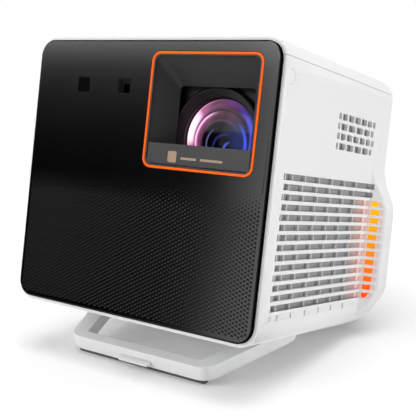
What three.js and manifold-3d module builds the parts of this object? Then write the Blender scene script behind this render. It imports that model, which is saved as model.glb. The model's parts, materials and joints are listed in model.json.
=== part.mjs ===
// Home projector: a leaning cube on a fold-out kickstand, with side air grilles, glowing light bars,
// a lens bay in the front panel, two fans and a geared focus ring.
// Millimetres, +Z up. The front faces -Y and leans back, the floor is Z = 0, and the origin is under
// the middle of the overall box. "body" places are in the leaning frame: x right, y to the rear, z up.
import * as THREE from "three";
import { mergeVertices } from "three/addons/utils/BufferGeometryUtils.js";
import { ConvexGeometry } from "three/addons/geometries/ConvexGeometry.js";
import Module from "manifold-3d";

const wasm = await Module();
wasm.setup();

// ---------------------------------------------------------------- driving dimensions
const GAP = 0.3;                    // clearance between neighbouring pieces
const BODY_WIDTH = 216;
const BODY_HEIGHT = 201.6;
const SHELL_DEPTH = 186;            // front rim to the rear face of the white shell
const CORNER_RADIUS = 15;
const REAR_RADIUS = 12;             // rounding of the top and bottom rear edges
const WALL = 3;
const BODY_TILT = THREE.MathUtils.degToRad(11);
const BODY_LIFT = 40;               // height of the bottom front edge above the floor
const BODY_Y = -121.64;             // where that edge stands, so that the overall box is centred
const SEAM_TOP = 190.4;             // joint between the top cover and the side covers
const SEAM_SIDE = 93;               // joint between the bottom cover and the side covers

const PANEL_WIDTH = 210;
const PANEL_HEIGHT = 196.5;
const PANEL_RADIUS = 12;
const PANEL_PROUD = 3;
const PANEL_MID_Z = 100.85;

const RING_X = 48;                  // centre of the lens bay's trim ring
const RING_Z = 150.8;
const RING_WIDTH = 91.2;
const RING_HEIGHT = 82.2;
const RING_RADIUS = 7.5;
const RING_LINE = 2.4;
const BAY_DEPTH = 15;
const BAY_WINDOW = { x: 61.5, top: 169.9, bottom: 114.5 };
const STRIP_TOP = 128;
const LENS_Z = 134.6;
const BARREL_RADIUS = 37;
const GLASS_RADIUS = 29;

const SENSOR = { x: -58.25, z: 166.25, w: 11.5, h: 11.1 };
const CAMERA = { x: -20, z: 166.25, w: 12, h: 11.1 };

const GRILLE = { top: 115.8, pitch: 6.7, height: 4.3, rows: 14, start: 12, end: 156, cell: 40, rib: 1.6 };
const VENT = { top: 164.4, pitch: 7.2, height: 5, rows: 4, start: 86, step: 11.4, gap: 1.9 };
const WING = { out: 13.5, bend: 160, ridge: 167, top: 128, fullTop: 96, fullBottom: 32, bottom: 9 };
const WING_FIRST_ROW = 2;           // the light bar fills the rows from here down
const RAMP_ANGLE = Math.atan2(WING.out, WING.ridge - WING.bend);
const RAMP_LENGTH = Math.hypot(WING.out, WING.ridge - WING.bend);
const SIDE_CAP = { y: 7, z: 177.5, r: 5 };
const TRIPOD = { y: 140, r: 7, hole: 2.8 };

const REAR_INSET_X = 95;
const REAR_Z = { low: 10, high: 190 };
const REAR_END = 213;
const REAR_MID_Z = (REAR_Z.low + REAR_Z.high) / 2;
const REAR_HEIGHT = REAR_Z.high - REAR_Z.low;
const REAR_COVER_RADIUS = 10;

const HINGE = { y: 103, z: 3.6 };   // kickstand hinge in the body frame
const STAND_OPEN = THREE.MathUtils.degToRad(20.4);
const STAND = {
  front: -92, rear: 5.3, thick: 10.6, halfFront: 63, halfRear: 89.6, frontBar: 8.7, sideBar: 13.2,
};
const HINGE_X = 58;
const FOOT_BAR = { front: -86.6, rear: -81.6, half: 58 };   // along the floor, from the hinge
const PULL_TAB = { half: 14, low: -3, high: -1 };
const REAR_FOOT = { x: 62, y: 168, r: 9 };

const FOCUS_LENS = { r: 23, front: 38, rear: 47 };
const REAR_LENS = { r: 22, front: 62, rear: 70 };
const FAN = { x: 91.5, y: 84, z: 67, size: 80, thick: 18, bore: 37, hub: 14 };
const RING_TEETH = 48;
const PINION_TEETH = 12;
const TOOTH_MODULE = 1.75;
const SPEAKER = { y: 122, z: 149, back: 84, front: 101 };
const LOUVRE = { low: 84, pitch: 9.6, rows: 10, height: 4.4, near: 3, far: 84 };

// ---------------------------------------------------------------- geometry helpers
function solid(geometry) {
  const bare = geometry.clone();
  bare.deleteAttribute("normal");
  bare.deleteAttribute("uv");
  const merged = mergeVertices(bare, 1e-4);
  const mesh = new wasm.Mesh({
    numProp: 3,
    vertProperties: new Float32Array(merged.attributes.position.array),
    triVerts: new Uint32Array(merged.index.array),
  });
  return new wasm.Manifold(mesh);
}

function surface(shape) {
  const mesh = shape.getMesh();
  const geometry = new THREE.BufferGeometry();
  const positions = new Float32Array(mesh.vertProperties);
  geometry.setAttribute("position", new THREE.BufferAttribute(positions, 3));
  geometry.setIndex(new THREE.BufferAttribute(new Uint32Array(mesh.triVerts), 1));
  geometry.computeVertexNormals();
  return geometry;
}

const join = (first, ...rest) => rest.reduce((sum, next) => sum.add(next), first);
const cut = (first, ...rest) => rest.reduce((left, next) => left.subtract(next), first);

function box(x0, x1, y0, y1, z0, z1) {
  const geometry = new THREE.BoxGeometry(x1 - x0, y1 - y0, z1 - z0);
  geometry.translate((x0 + x1) / 2, (y0 + y1) / 2, (z0 + z1) / 2);
  return solid(geometry);
}

// A cylinder from low to high along the named axis, centred on the two other coordinates.
function cylinder(axis, radius, low, high, a, b, sides = 16, radiusHigh = radius) {
  const geometry = new THREE.CylinderGeometry(radiusHigh, radius, high - low, sides);
  const middle = (low + high) / 2;
  if (axis === "x") geometry.rotateZ(-Math.PI / 2).translate(middle, a, b);
  if (axis === "y") geometry.translate(a, middle, b);
  if (axis === "z") geometry.rotateX(Math.PI / 2).translate(a, b, middle);
  return solid(geometry);
}

function roundedRect(width, height, radius, cx = 0, cy = 0) {
  const shape = new THREE.Shape();
  const right = cx + width / 2 - radius;
  const left = cx - width / 2 + radius;
  const top = cy + height / 2 - radius;
  const bottom = cy - height / 2 + radius;
  shape.absarc(right, top, radius, 0, Math.PI / 2);
  shape.absarc(left, top, radius, Math.PI / 2, Math.PI);
  shape.absarc(left, bottom, radius, Math.PI, 1.5 * Math.PI);
  shape.absarc(right, bottom, radius, 1.5 * Math.PI, 2 * Math.PI);
  shape.closePath();
  return shape;
}

function polygon(points) {
  return new THREE.Shape(points.map(([a, b]) => new THREE.Vector2(a, b)));
}

function extruded(shape, length, segments) {
  return new THREE.ExtrudeGeometry(shape, { depth: length, bevelEnabled: false, curveSegments: segments });
}

// A shape drawn in X and Z, extruded along Y.
function alongY(shape, low, high, segments = 4) {
  return solid(extruded(shape, high - low, segments).rotateX(Math.PI / 2).translate(0, high, 0));
}

// A shape drawn in Y and Z, extruded along X.
function alongX(shape, low, high, segments = 4) {
  const turn = new THREE.Matrix4().makeBasis(
    new THREE.Vector3(0, 1, 0),
    new THREE.Vector3(0, 0, 1),
    new THREE.Vector3(1, 0, 0),
  );
  return solid(extruded(shape, high - low, segments).applyMatrix4(turn).translate(low, 0, 0));
}

// A shape drawn in X and Y, extruded along Z.
function alongZ(shape, low, high, segments = 5) {
  return solid(extruded(shape, high - low, segments).translate(0, 0, low));
}

// A profile of [radius, y] turned about the Y axis through x and z; it starts and ends on the axis.
function turned(profile, x, z, sides = 28) {
  const points = profile.map(([r, y]) => new THREE.Vector2(r, y));
  return solid(new THREE.LatheGeometry(points, sides).translate(x, 0, z));
}

function hull(points) {
  return solid(new ConvexGeometry(points.map(([x, y, z]) => new THREE.Vector3(x, y, z))));
}

function rectPoints(x0, x1, z0, z1, y) {
  return [[x0, y, z0], [x1, y, z0], [x1, y, z1], [x0, y, z1]];
}

// ---------------------------------------------------------------- materials
function finish(color, roughness, metalness = 0) {
  return new THREE.MeshStandardMaterial({ color, roughness, metalness });
}

const white = finish(0xeeeeee, 0.5);
const standGrey = finish(0xd8d9db, 0.5);
const gloss = finish(0x08080a, 0.12);
const satinBlack = finish(0x1c1c1e, 0.4);
const darkPlastic = finish(0x2b2c2f, 0.6);
const midGrey = finish(0x808285, 0.8);
const orange = finish(0xff6a1c, 0.4);
const glow = finish(0xffa020, 0.3);
const glass = finish(0x5a4a78, 0.03);
const rubber = finish(0x3a3b3d, 0.9);
const metal = finish(0xb8babd, 0.35, 1);
const copper = finish(0xb87333, 0.3, 1);
const board = finish(0x12532f, 0.6);

// ---------------------------------------------------------------- scene graph
const projector = new THREE.Group();
const body = new THREE.Group();
const stand = new THREE.Group();
projector.add(body, stand);

body.rotation.x = -BODY_TILT;
body.position.set(0, BODY_Y, BODY_LIFT);

// The stand's own frame has its origin on the hinge, with y to the rear along its plate.
const hingeY = BODY_Y + HINGE.y * Math.cos(BODY_TILT) + HINGE.z * Math.sin(BODY_TILT);
const hingeZ = BODY_LIFT - HINGE.y * Math.sin(BODY_TILT) + HINGE.z * Math.cos(BODY_TILT);
stand.rotation.x = STAND_OPEN - BODY_TILT;
stand.position.set(0, hingeY, hingeZ);

function place(group, name, shape, material) {
  const mesh = new THREE.Mesh(surface(shape), material.clone());
  mesh.name = name;
  group.add(mesh);
  return mesh;
}

// One piece on each side: the right one as drawn, the left one mirrored in X = 0.
function placePair(group, name, shape, material) {
  place(group, "right_" + name, shape, material);
  place(group, "left_" + name, shape, material).scale.x = -1;
}

// ---------------------------------------------------------------- white shells
const outerSection = roundedRect(BODY_WIDTH, BODY_HEIGHT, CORNER_RADIUS, 0, BODY_HEIGHT / 2);
const innerSection = roundedRect(
  BODY_WIDTH - 2 * WALL, BODY_HEIGHT - 2 * WALL, CORNER_RADIUS - WALL, 0, BODY_HEIGHT / 2);

// A side outline with rounded rear corners, open to the front.
function sideOutline(front, rear, low, high, radius) {
  const shape = new THREE.Shape();
  shape.moveTo(front, low);
  shape.lineTo(rear - radius, low);
  shape.absarc(rear - radius, low + radius, radius, -Math.PI / 2, 0);
  shape.absarc(rear - radius, high - radius, radius, 0, Math.PI / 2);
  shape.lineTo(front, high);
  shape.closePath();
  return shape;
}

// The wing: a six-sided base on the side wall and a flat outer face, joined by sloping faces.
function wingHull(inward, rear, base) {
  const side = BODY_WIDTH / 2 - inward;
  const out = side + WING.out;
  const foot = [
    [WING.bend, WING.fullBottom], [WING.bend, WING.fullTop], [WING.ridge - 4, WING.top],
    [rear, WING.top], [rear, WING.bottom], [WING.ridge - 10, WING.bottom],
  ];
  const crown = [
    [WING.ridge, WING.fullBottom], [WING.ridge, WING.fullTop],
    [rear, WING.fullTop], [rear, WING.fullBottom],
  ];
  return hull([
    ...foot.map(([y, z]) => [side, y, z]),
    ...foot.map(([y, z]) => [base, y, z]),
    ...crown.map(([y, z]) => [out, y, z]),
  ]);
}

function cellsOfRow(row) {
  const cells = [];
  const odd = row % 2 === 0;
  const first = odd ? GRILLE.start : GRILLE.start + 2;
  const firstRib = odd ? GRILLE.start + 5 : GRILLE.start + GRILLE.cell - 4;
  let from = first;
  for (let rib = firstRib; rib < GRILLE.end - 4; rib += GRILLE.cell) {
    cells.push([from, rib - GRILLE.rib / 2]);
    from = rib + GRILLE.rib / 2;
  }
  cells.push([from, GRILLE.end]);
  return cells;
}

function rowBottom(row) {
  return GRILLE.top - GRILLE.pitch * row - GRILLE.height;
}

function sideCuts(wall) {
  let shape = wall;
  const outside = BODY_WIDTH / 2;
  for (let row = 0; row < GRILLE.rows; row++) {
    const low = rowBottom(row);
    for (const [from, to] of cellsOfRow(row)) {
      shape = cut(shape, box(outside - 5, outside + 1, from, to, low, low + GRILLE.height));
    }
    if (row >= WING_FIRST_ROW) shape = cut(shape, rampSlot(row, 0, 6));
  }
  // The lowest row is a blind groove.
  const grooveTop = rowBottom(GRILLE.rows) + GRILLE.height;
  const groove = box(outside - 1.2, outside + 1, GRILLE.start + 2, GRILLE.end - 8, grooveTop - 4, grooveTop);
  shape = cut(shape, groove);
  for (let row = 0; row < VENT.rows; row++) {
    const low = VENT.top - VENT.pitch * row - VENT.height;
    const shift = row % 2 ? VENT.step / 2 : 0;
    for (let cell = 0; cell < 6; cell++) {
      const from = VENT.start + shift + cell * VENT.step;
      const to = from + VENT.step - VENT.gap;
      shape = cut(shape, box(outside - 5, outside + 1, from, to, low, low + VENT.height));
    }
  }
  return cut(shape, cylinder("x", SIDE_CAP.r + GAP, outside - 5, outside + 1, SIDE_CAP.y, SIDE_CAP.z));
}

// A slot of the ramp: a box square to the sloping face, from depth below it up to rise above it.
function rampSlot(row, inset, rise, depth = 8) {
  const low = rowBottom(row) + inset;
  const length = RAMP_LENGTH - 5 - 2 * inset;
  const geometry = new THREE.BoxGeometry(depth + rise, length, GRILLE.height - 2 * inset);
  geometry.translate((rise - depth) / 2, 2.5 + inset + length / 2, 0);
  geometry.rotateZ(-RAMP_ANGLE);
  geometry.translate(BODY_WIDTH / 2, WING.bend, low + GRILLE.height / 2 - inset);
  return solid(geometry);
}

const outerBlock = alongY(outerSection, 0, SHELL_DEPTH)
  .intersect(alongX(sideOutline(-1, SHELL_DEPTH, 0, BODY_HEIGHT, REAR_RADIUS), -BODY_WIDTH, BODY_WIDTH));
const innerBlock = alongY(innerSection, -1, SHELL_DEPTH - WALL)
  .intersect(alongX(sideOutline(-2, SHELL_DEPTH - WALL, WALL, BODY_HEIGHT - WALL, REAR_RADIUS / 2),
    -BODY_WIDTH, BODY_WIDTH));
const rearHole = alongY(
  roundedRect(2 * (REAR_INSET_X + GAP), REAR_HEIGHT + 2 * GAP, REAR_COVER_RADIUS, 0, REAR_MID_Z),
  SHELL_DEPTH - 2 * WALL, SHELL_DEPTH + 1);
const shell = cut(outerBlock, innerBlock, rearHole);

place(body, "top_cover", topCover(), white);
placePair(body, "side_cover", sideCover(), white);
place(body, "bottom_cover", bottomCover(), white);

function buttonPlaces() {
  return [-2, -1, 0, 1, 2].map((step) => ({ x: 22 * step, y: 150, r: step === 0 ? 6.5 : 5 }));
}

function topCover() {
  const lid = box(-BODY_WIDTH, BODY_WIDTH, -1, SHELL_DEPTH + 1, SEAM_TOP + GAP / 2, BODY_HEIGHT + 1);
  let shape = shell.intersect(lid);
  for (const { x, y, r } of buttonPlaces()) {
    shape = cut(shape, cylinder("z", r + GAP, BODY_HEIGHT - 5, BODY_HEIGHT + 1, x, y));
  }
  return shape;
}

function sideCover() {
  const half = BODY_WIDTH / 2;
  const part = box(SEAM_SIDE + GAP / 2, half + 30, -1, SHELL_DEPTH + 1, -1, SEAM_TOP - GAP / 2);
  const wing = wingHull(0, SHELL_DEPTH, half - 2);
  const hollow = wingHull(WALL, SHELL_DEPTH - WALL, half - 12);
  return sideCuts(cut(join(shell.intersect(part), wing), hollow));
}

// ---------------------------------------------------------------- kickstand and its pocket
function standOutline(grow) {
  const flare = (STAND.halfRear - STAND.halfFront) / 75;
  const front = STAND.front - grow;
  const rear = STAND.rear + grow;
  const wide = STAND.halfRear + grow;
  const narrow = STAND.halfFront + grow - flare * grow;
  const shape = new THREE.Shape();
  const knee = STAND.front + 75;
  const frontRadius = 10;
  const rearRadius = 18;
  shape.moveTo(narrow - frontRadius, front);
  shape.quadraticCurveTo(narrow, front, narrow + flare * frontRadius, front + frontRadius);
  shape.lineTo(wide - flare * 5, knee - 5);
  shape.quadraticCurveTo(wide + 2, knee + 6, wide - 4, knee + 13);
  shape.quadraticCurveTo(wide - 8, rear, wide - 8 - rearRadius, rear);
  shape.lineTo(-wide + 8 + rearRadius, rear);
  shape.quadraticCurveTo(-wide + 8, rear, -wide + 4, knee + 13);
  shape.quadraticCurveTo(-wide - 2, knee + 6, -wide + flare * 5, knee - 5);
  shape.lineTo(-narrow - flare * frontRadius, front + frontRadius);
  shape.quadraticCurveTo(-narrow, front, -narrow + frontRadius, front);
  shape.closePath();
  return shape;
}

function bottomCover() {
  const roof = 9.8;
  const tray = (grow, low, high) => alongZ(standOutline(grow), low, high).translate([0, HINGE.y, 0]);
  let shape = shell.intersect(box(-SEAM_SIDE + GAP / 2, SEAM_SIDE - GAP / 2, -1, SHELL_DEPTH + 1, -1, 8));
  const room = box(-SEAM_SIDE + GAP / 2, SEAM_SIDE - GAP / 2, 3.2, 150, 0, roof + 2);
  shape = join(shape, tray(3.2, 0.01, roof + 2).intersect(room));
  shape = cut(shape, tray(1.2, -1, roof));
  shape = cut(shape, box(-82, 82, HINGE.y - 10, HINGE.y + STAND.rear + 1.6, -1, roof));
  // The pocket's mouth is wider beside the hinge, where the frame's rear corners swing out.
  shape = cut(shape, box(-85.2, 85.2, HINGE.y - 10, HINGE.y + 3, -1, 1.6));
  shape = cut(shape, box(-17, 17, 4.6, 20, -1, 6.5));
  return cut(shape, cylinder("z", TRIPOD.r + GAP, -1, 8, 0, TRIPOD.y));
}

function standFrame() {
  const half = STAND.thick / 2;
  const plate = alongZ(standOutline(0), -half, half);
  const flare = (STAND.halfRear - STAND.halfFront) / 75;
  const near = STAND.front + STAND.frontBar;
  const far = -16;
  const nearHalf = STAND.halfFront + flare * STAND.frontBar - STAND.sideBar;
  const farHalf = nearHalf + flare * (far - near) - 2;
  const opening = polygon([[-nearHalf, near], [nearHalf, near], [farHalf, far], [-farHalf, far]]);
  const window = alongZ(opening, -9, 9);
  // The rear bar is round about the hinge, so that it turns inside its pocket.
  const front = box(-120, 120, STAND.front - 10, 0, -9, 9);
  const rearRound = cylinder("x", half, -120, 120, 0, 0, 24);
  let shape = cut(plate.intersect(join(front, rearRound)), window);
  for (const side of [-1, 1]) {
    const x = side * HINGE_X;
    shape = cut(shape, box(x - 7.5, x + 7.5, -8.5, 9, -9, 9));
    shape = cut(shape, cylinder("x", 2.6, x - 16, x + 16, 0, 0, 16));
  }
  // A pad for the pull tab is let into the front edge.
  const { half: tabHalf, low, high } = PULL_TAB;
  const seat = tabHalf + GAP;
  return cut(shape, box(-seat, seat, STAND.front - 1, STAND.front + 4.3, low - GAP, high + GAP));
}

// A place on the floor side of the stand, given by the world's y from the hinge and height z.
function standPoint(y, z) {
  const angle = STAND_OPEN - BODY_TILT;
  const drop = z - hingeZ;
  return [y * Math.cos(angle) + drop * Math.sin(angle), -y * Math.sin(angle) + drop * Math.cos(angle)];
}

function footBar() {
  const underside = -STAND.thick / 2 - GAP;
  const front = standPoint(FOOT_BAR.front, 0);
  const rear = standPoint(FOOT_BAR.rear, 0);
  const profile = polygon([[front[0] - 0.6, underside], front, rear, [rear[0] + 0.4, underside]]);
  return alongX(profile, -FOOT_BAR.half, FOOT_BAR.half);
}

place(stand, "stand_frame", standFrame(), standGrey);
place(stand, "stand_foot_bar", footBar(), rubber);
const tabOutline = roundedRect(2 * PULL_TAB.half, 8.4, 2, 0, STAND.front - 0.3);
place(stand, "stand_pull_tab", alongZ(tabOutline, PULL_TAB.low, PULL_TAB.high, 4), white);

function hingeBracket() {
  const y = HINGE.y;
  const knuckle = cylinder("x", 5, HINGE_X - 7, HINGE_X + 7, y, HINGE.z, 20);
  const arm = box(HINGE_X - 7, HINGE_X + 7, y - 4.6, y + 4.6, HINGE.z, 9.5);
  return cut(join(knuckle, arm), cylinder("x", 2.6, HINGE_X - 9, HINGE_X + 9, y, HINGE.z, 16));
}

placePair(body, "hinge_bracket", hingeBracket(), metal);
placePair(body, "hinge_pin", cylinder("x", 2.3, HINGE_X - 15.5, HINGE_X + 15.5, HINGE.y, HINGE.z, 16), metal);

// A rubber foot stands on the bottom cover and is cut level with the floor.
function rearFoot() {
  const post = cylinder("z", REAR_FOOT.r, -11, -GAP, REAR_FOOT.x, REAR_FOOT.y, 24);
  const floor = new THREE.BoxGeometry(400, 400, 100);
  floor.translate(0, 0, -50 - BODY_LIFT);
  floor.rotateX(BODY_TILT);
  return cut(post, solid(floor));
}

placePair(body, "rear_foot", rearFoot(), rubber);
place(body, "tripod_insert",
  cut(cylinder("z", TRIPOD.r, 0, 7, 0, TRIPOD.y), cylinder("z", TRIPOD.hole, -1, 6, 0, TRIPOD.y)),
  metal);

// ---------------------------------------------------------------- front
function frontPanel() {
  const face = roundedRect(PANEL_WIDTH, PANEL_HEIGHT, PANEL_RADIUS, 0, PANEL_MID_Z);
  const spigot = roundedRect(PANEL_WIDTH - WALL, PANEL_HEIGHT - 2 * WALL, 9, 0, BODY_HEIGHT / 2);
  const ring = roundedRect(RING_WIDTH + 2 * GAP, RING_HEIGHT + 2 * GAP, RING_RADIUS, RING_X, RING_Z);
  const rim = roundedRect(PANEL_WIDTH - 4, PANEL_HEIGHT - 4, PANEL_RADIUS - 2, 0, PANEL_MID_Z);
  const plate = join(
    alongY(rim, -PANEL_PROUD, -1.5),
    alongY(face, -PANEL_PROUD + 1, -GAP),
    alongY(spigot, -1, 2),
  );
  const holes = [SENSOR, CAMERA].map(({ x, z, w, h }) => alongY(roundedRect(w, h, 1.5, x, z), -9, 9, 3));
  return cut(plate, alongY(ring, -9, 9), ...holes);
}

function lensBay() {
  const front = -2.4;
  const land = 0.4;
  const lipX = RING_WIDTH / 2 - RING_LINE - GAP;
  const lipZ = RING_HEIGHT / 2 - RING_LINE - GAP;
  const shellAt = (grow) => {
    const x = lipX + grow;
    const z = lipZ + grow;
    const wide = rectPoints(RING_X - x, RING_X + x, RING_Z - z, RING_Z + z, land);
    const half = BAY_WINDOW.x / 2 + grow + 1;
    const deep = rectPoints(
      RING_X - half, RING_X + half, BAY_WINDOW.bottom - grow - 1, BAY_WINDOW.top + grow + 1, BAY_DEPTH);
    return [wide, deep];
  };
  const outside = shellAt(0);
  const inside = shellAt(-1);
  const outer = join(
    alongY(roundedRect(2 * lipX, 2 * lipZ, 4, RING_X, RING_Z), front, land + 0.01),
    hull([...outside[0], ...outside[1]]),
  ).intersect(alongY(roundedRect(2 * lipX, 2 * lipZ, 5, RING_X, RING_Z), front - 1, BAY_DEPTH + 1));
  const flared = hull([...inside[0], ...inside[1]]);
  const mouth = roundedRect(2 * lipX - 2, 2 * lipZ - 2, 3.4, RING_X, RING_Z);
  const straight = alongY(mouth, front - 1, land + 0.01);
  const half = BAY_WINDOW.x / 2;
  const through = hull([
    ...inside[1],
    ...rectPoints(RING_X - half, RING_X + half, BAY_WINDOW.bottom, BAY_WINDOW.top, BAY_DEPTH + 5),
  ]);
  return cut(outer, straight, flared, through);
}

function ringFrame() {
  const outer = roundedRect(RING_WIDTH, RING_HEIGHT, RING_RADIUS, RING_X, RING_Z);
  const inner = roundedRect(
    RING_WIDTH - 2 * RING_LINE, RING_HEIGHT - 2 * RING_LINE, RING_RADIUS - RING_LINE, RING_X, RING_Z);
  return cut(alongY(outer, -PANEL_PROUD - 0.3, 2.2), alongY(inner, -9, 9));
}

function bayStrip() {
  const low = RING_Z - RING_HEIGHT / 2 + RING_LINE + 2 * GAP + 1;
  const half = RING_WIDTH / 2 - RING_LINE - 2 * GAP - 1;
  return alongY(roundedRect(2 * half, STRIP_TOP - low, 2.5, RING_X, (STRIP_TOP + low) / 2), -2.4, -0.4);
}

function cameraRecess() {
  const { x, z, w, h } = CAMERA;
  const block = alongY(roundedRect(w - 2 * GAP, h - 2 * GAP, 1.3, x, z), -PANEL_PROUD, 6, 3);
  const pit = hull([
    ...rectPoints(x - 4.6, x + 4.6, z - 4.3, z + 4.3, -PANEL_PROUD - 0.1),
    ...rectPoints(x - 2.2, x + 2.2, z - 2.2, z + 2.2, 2.5),
  ]);
  return cut(block, pit, cylinder("y", 1.9, 2, 7, x, z, 16));
}

place(body, "front_panel", frontPanel(), gloss);
place(body, "lens_bay", lensBay(), darkPlastic);
place(body, "lens_bay_ring", ringFrame(), orange);
place(body, "lens_bay_strip", bayStrip(), darkPlastic);
place(body, "sensor_window",
  alongY(roundedRect(SENSOR.w - 2 * GAP, SENSOR.h - 2 * GAP, 1.3, SENSOR.x, SENSOR.z), -3.1, -1, 3), gloss);
place(body, "camera_recess", cameraRecess(), satinBlack);
place(body, "camera_lens",
  turned([[0, 3.2], [1.5, 3.8], [1.5, 5.8], [0, 5.8]], CAMERA.x, CAMERA.z, 12), glass);
placePair(body, "side_cap",
  cylinder("x", SIDE_CAP.r, BODY_WIDTH / 2 - 2.4, BODY_WIDTH / 2, SIDE_CAP.y, SIDE_CAP.z), white);

// ---------------------------------------------------------------- optics
function lensBarrel() {
  const r = BARREL_RADIUS;
  const outside = [[0, 17], [r - 3, 17], [r, 19], [r, 42], [r - 3, 42], [r - 3, 74], [0, 74]];
  const tube = turned(outside, RING_X, LENS_Z);
  const flange = box(RING_X - 35, RING_X + 35, 23, 25, BAY_WINDOW.bottom - 3, BAY_WINDOW.top + 3);
  const seat = GLASS_RADIUS + 1.5;
  const bore = 26;
  const inside = [
    [0, 16], [r - 2, 16], [r - 4, 20], [seat, 22], [seat, 31], [bore, 31], [bore, 75], [0, 75],
  ];
  const steps = turned(inside, RING_X, LENS_Z);
  return cut(join(tube, flange), steps);
}

// Half of a lens section: two domed faces that drop by their bulge from the axis to the edge.
function lensProfile(radius, front, rear, bulgeFront, bulgeRear) {
  const steps = 3;
  const profile = [];
  for (let i = 0; i <= steps; i++) {
    const t = i / steps;
    profile.push([radius * t, front + bulgeFront * t * t]);
  }
  for (let i = steps; i >= 0; i--) {
    const t = i / steps;
    profile.push([radius * t, rear - bulgeRear * t * t]);
  }
  return profile;
}

function gear(teeth, bore, low, high, x, z, turn) {
  const pitch = teeth * TOOTH_MODULE / 2;
  const tip = pitch + 0.8 * TOOTH_MODULE;
  const root = pitch - 1.15 * TOOTH_MODULE;
  const points = [];
  for (let i = 0; i < teeth; i++) {
    const middle = (i / teeth) * 2 * Math.PI + turn;
    const step = Math.PI / teeth;
    for (const [radius, offset] of [[root, -0.62], [tip, -0.24], [tip, 0.24], [root, 0.62]]) {
      const angle = middle + offset * step;
      points.push([x + radius * Math.cos(angle), z + radius * Math.sin(angle)]);
    }
  }
  const wheel = alongY(polygon(points), low, high);
  return bore > 0 ? cut(wheel, cylinder("y", bore, low - 1, high + 1, x, z, 32)) : wheel;
}

const gearDistance = (RING_TEETH + PINION_TEETH) * TOOTH_MODULE / 2;
const pinionAngle = THREE.MathUtils.degToRad(140);
const pinionX = RING_X + gearDistance * Math.cos(pinionAngle);
const pinionZ = LENS_Z + gearDistance * Math.sin(pinionAngle);
// A tooth of the ring points at the pinion, and a space of the pinion points back at it.
const pinionTurn = pinionAngle + Math.PI + Math.PI / PINION_TEETH;

place(body, "lens_barrel", lensBarrel(), satinBlack);
place(body, "front_glass", turned(lensProfile(GLASS_RADIUS, 21, 30, 5, 1), RING_X, LENS_Z), glass);
place(body, "focus_lens",
  turned(lensProfile(FOCUS_LENS.r, FOCUS_LENS.front, FOCUS_LENS.rear, 3, 2), RING_X, LENS_Z, 20), glass);
place(body, "rear_lens",
  turned(lensProfile(REAR_LENS.r, REAR_LENS.front, REAR_LENS.rear, 2, 2), RING_X, LENS_Z, 20), glass);
place(body, "focus_ring", gear(RING_TEETH, 35, 46, 56, RING_X, LENS_Z, pinionAngle), satinBlack);
place(body, "focus_pinion", join(
  gear(PINION_TEETH, 0, 47, 55, pinionX, pinionZ, pinionTurn),
  cylinder("y", 2, 54.5, 59, pinionX, pinionZ, 12),
), metal);
place(body, "focus_motor", cylinder("y", 7, 59.3, 80, pinionX, pinionZ, 16), metal);

function lightEngine() {
  const housing = box(14, 82, 84, 144, 98, 172);
  const neck = cylinder("y", 30, 76, 84.5, RING_X, LENS_Z, 24);
  const port = cylinder("y", 24, 75, 110, RING_X, LENS_Z, 24);
  return cut(join(housing, neck), port);
}

function heatSink() {
  let shape = box(-78, -10, 88, 150, 96, 101);
  for (let fin = 0; fin < 11; fin++) {
    const x = -78 + 6.6 * fin;
    shape = join(shape, box(x, x + 2, 88, 150, 100, 172));
  }
  return shape;
}

function heatPipe() {
  const route = new THREE.CatmullRomCurve3([
    new THREE.Vector3(12, 120, 90),
    new THREE.Vector3(0, 120, 90),
    new THREE.Vector3(-40, 120, 91),
    new THREE.Vector3(-72, 120, 90),
    new THREE.Vector3(-80, 100, 90),
  ]);
  const section = new THREE.Shape().absarc(0, 0, 3, 0, 2 * Math.PI);
  const geometry = new THREE.ExtrudeGeometry(section, { steps: 14, extrudePath: route, curveSegments: 8 });
  return solid(geometry);
}

place(body, "light_engine", lightEngine(), metal);
place(body, "heat_sink", heatSink(), metal);
place(body, "heat_pipe", heatPipe(), copper);

// ---------------------------------------------------------------- fans, speakers, screens, light bars
function fanFrame() {
  const { x, y, z, size, thick, bore, hub } = FAN;
  const half = size / 2;
  const square = cut(
    box(x - thick / 2, x + thick / 2, y - half, y + half, z - half, z + half),
    cylinder("x", bore, x - thick, x + thick, y, z, 32),
  );
  const back = x - thick / 2;
  let spider = cylinder("x", hub - 1, back, back + 2, y, z, 20);
  for (let arm = 0; arm < 4; arm++) {
    const strut = new THREE.BoxGeometry(2, bore + 2, 3);
    strut.translate(0, (bore + 2) / 2, 0);
    strut.rotateX((arm + 0.5) * Math.PI / 2);
    strut.translate(back + 1, y, z);
    spider = join(spider, solid(strut));
  }
  return join(square, spider);
}

function fanRotor() {
  const { x, y, z, thick, bore, hub } = FAN;
  let shape = cylinder("x", hub, x - thick / 2 + 3, x + thick / 2 - 1, y, z, 20);
  for (let blade = 0; blade < 7; blade++) {
    const vane = new THREE.BoxGeometry(15, bore - hub - 1, 1.6);
    vane.rotateY(THREE.MathUtils.degToRad(38));
    vane.translate(0, (bore + hub) / 2 - 1.5, 0);
    vane.rotateX((blade / 7) * 2 * Math.PI);
    vane.translate(x + 1, y, z);
    shape = join(shape, solid(vane));
  }
  return shape;
}

function speaker() {
  const { y, z, back, front } = SPEAKER;
  const basket = alongX(roundedRect(72, 34, 8, y, z), back, front - 3, 4);
  const rim = alongX(roundedRect(78, 40, 6, y, z), front - 3, front, 4);
  const cone = hull([
    ...[[-28, -12], [28, -12], [28, 12], [-28, 12]].map(([a, b]) => [front + 0.5, y + a, z + b]),
    ...[[-9, -6], [9, -6], [9, 6], [-9, 6]].map(([a, b]) => [back + 6, y + a, z + b]),
  ]);
  return cut(join(basket, rim), cone);
}

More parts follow.
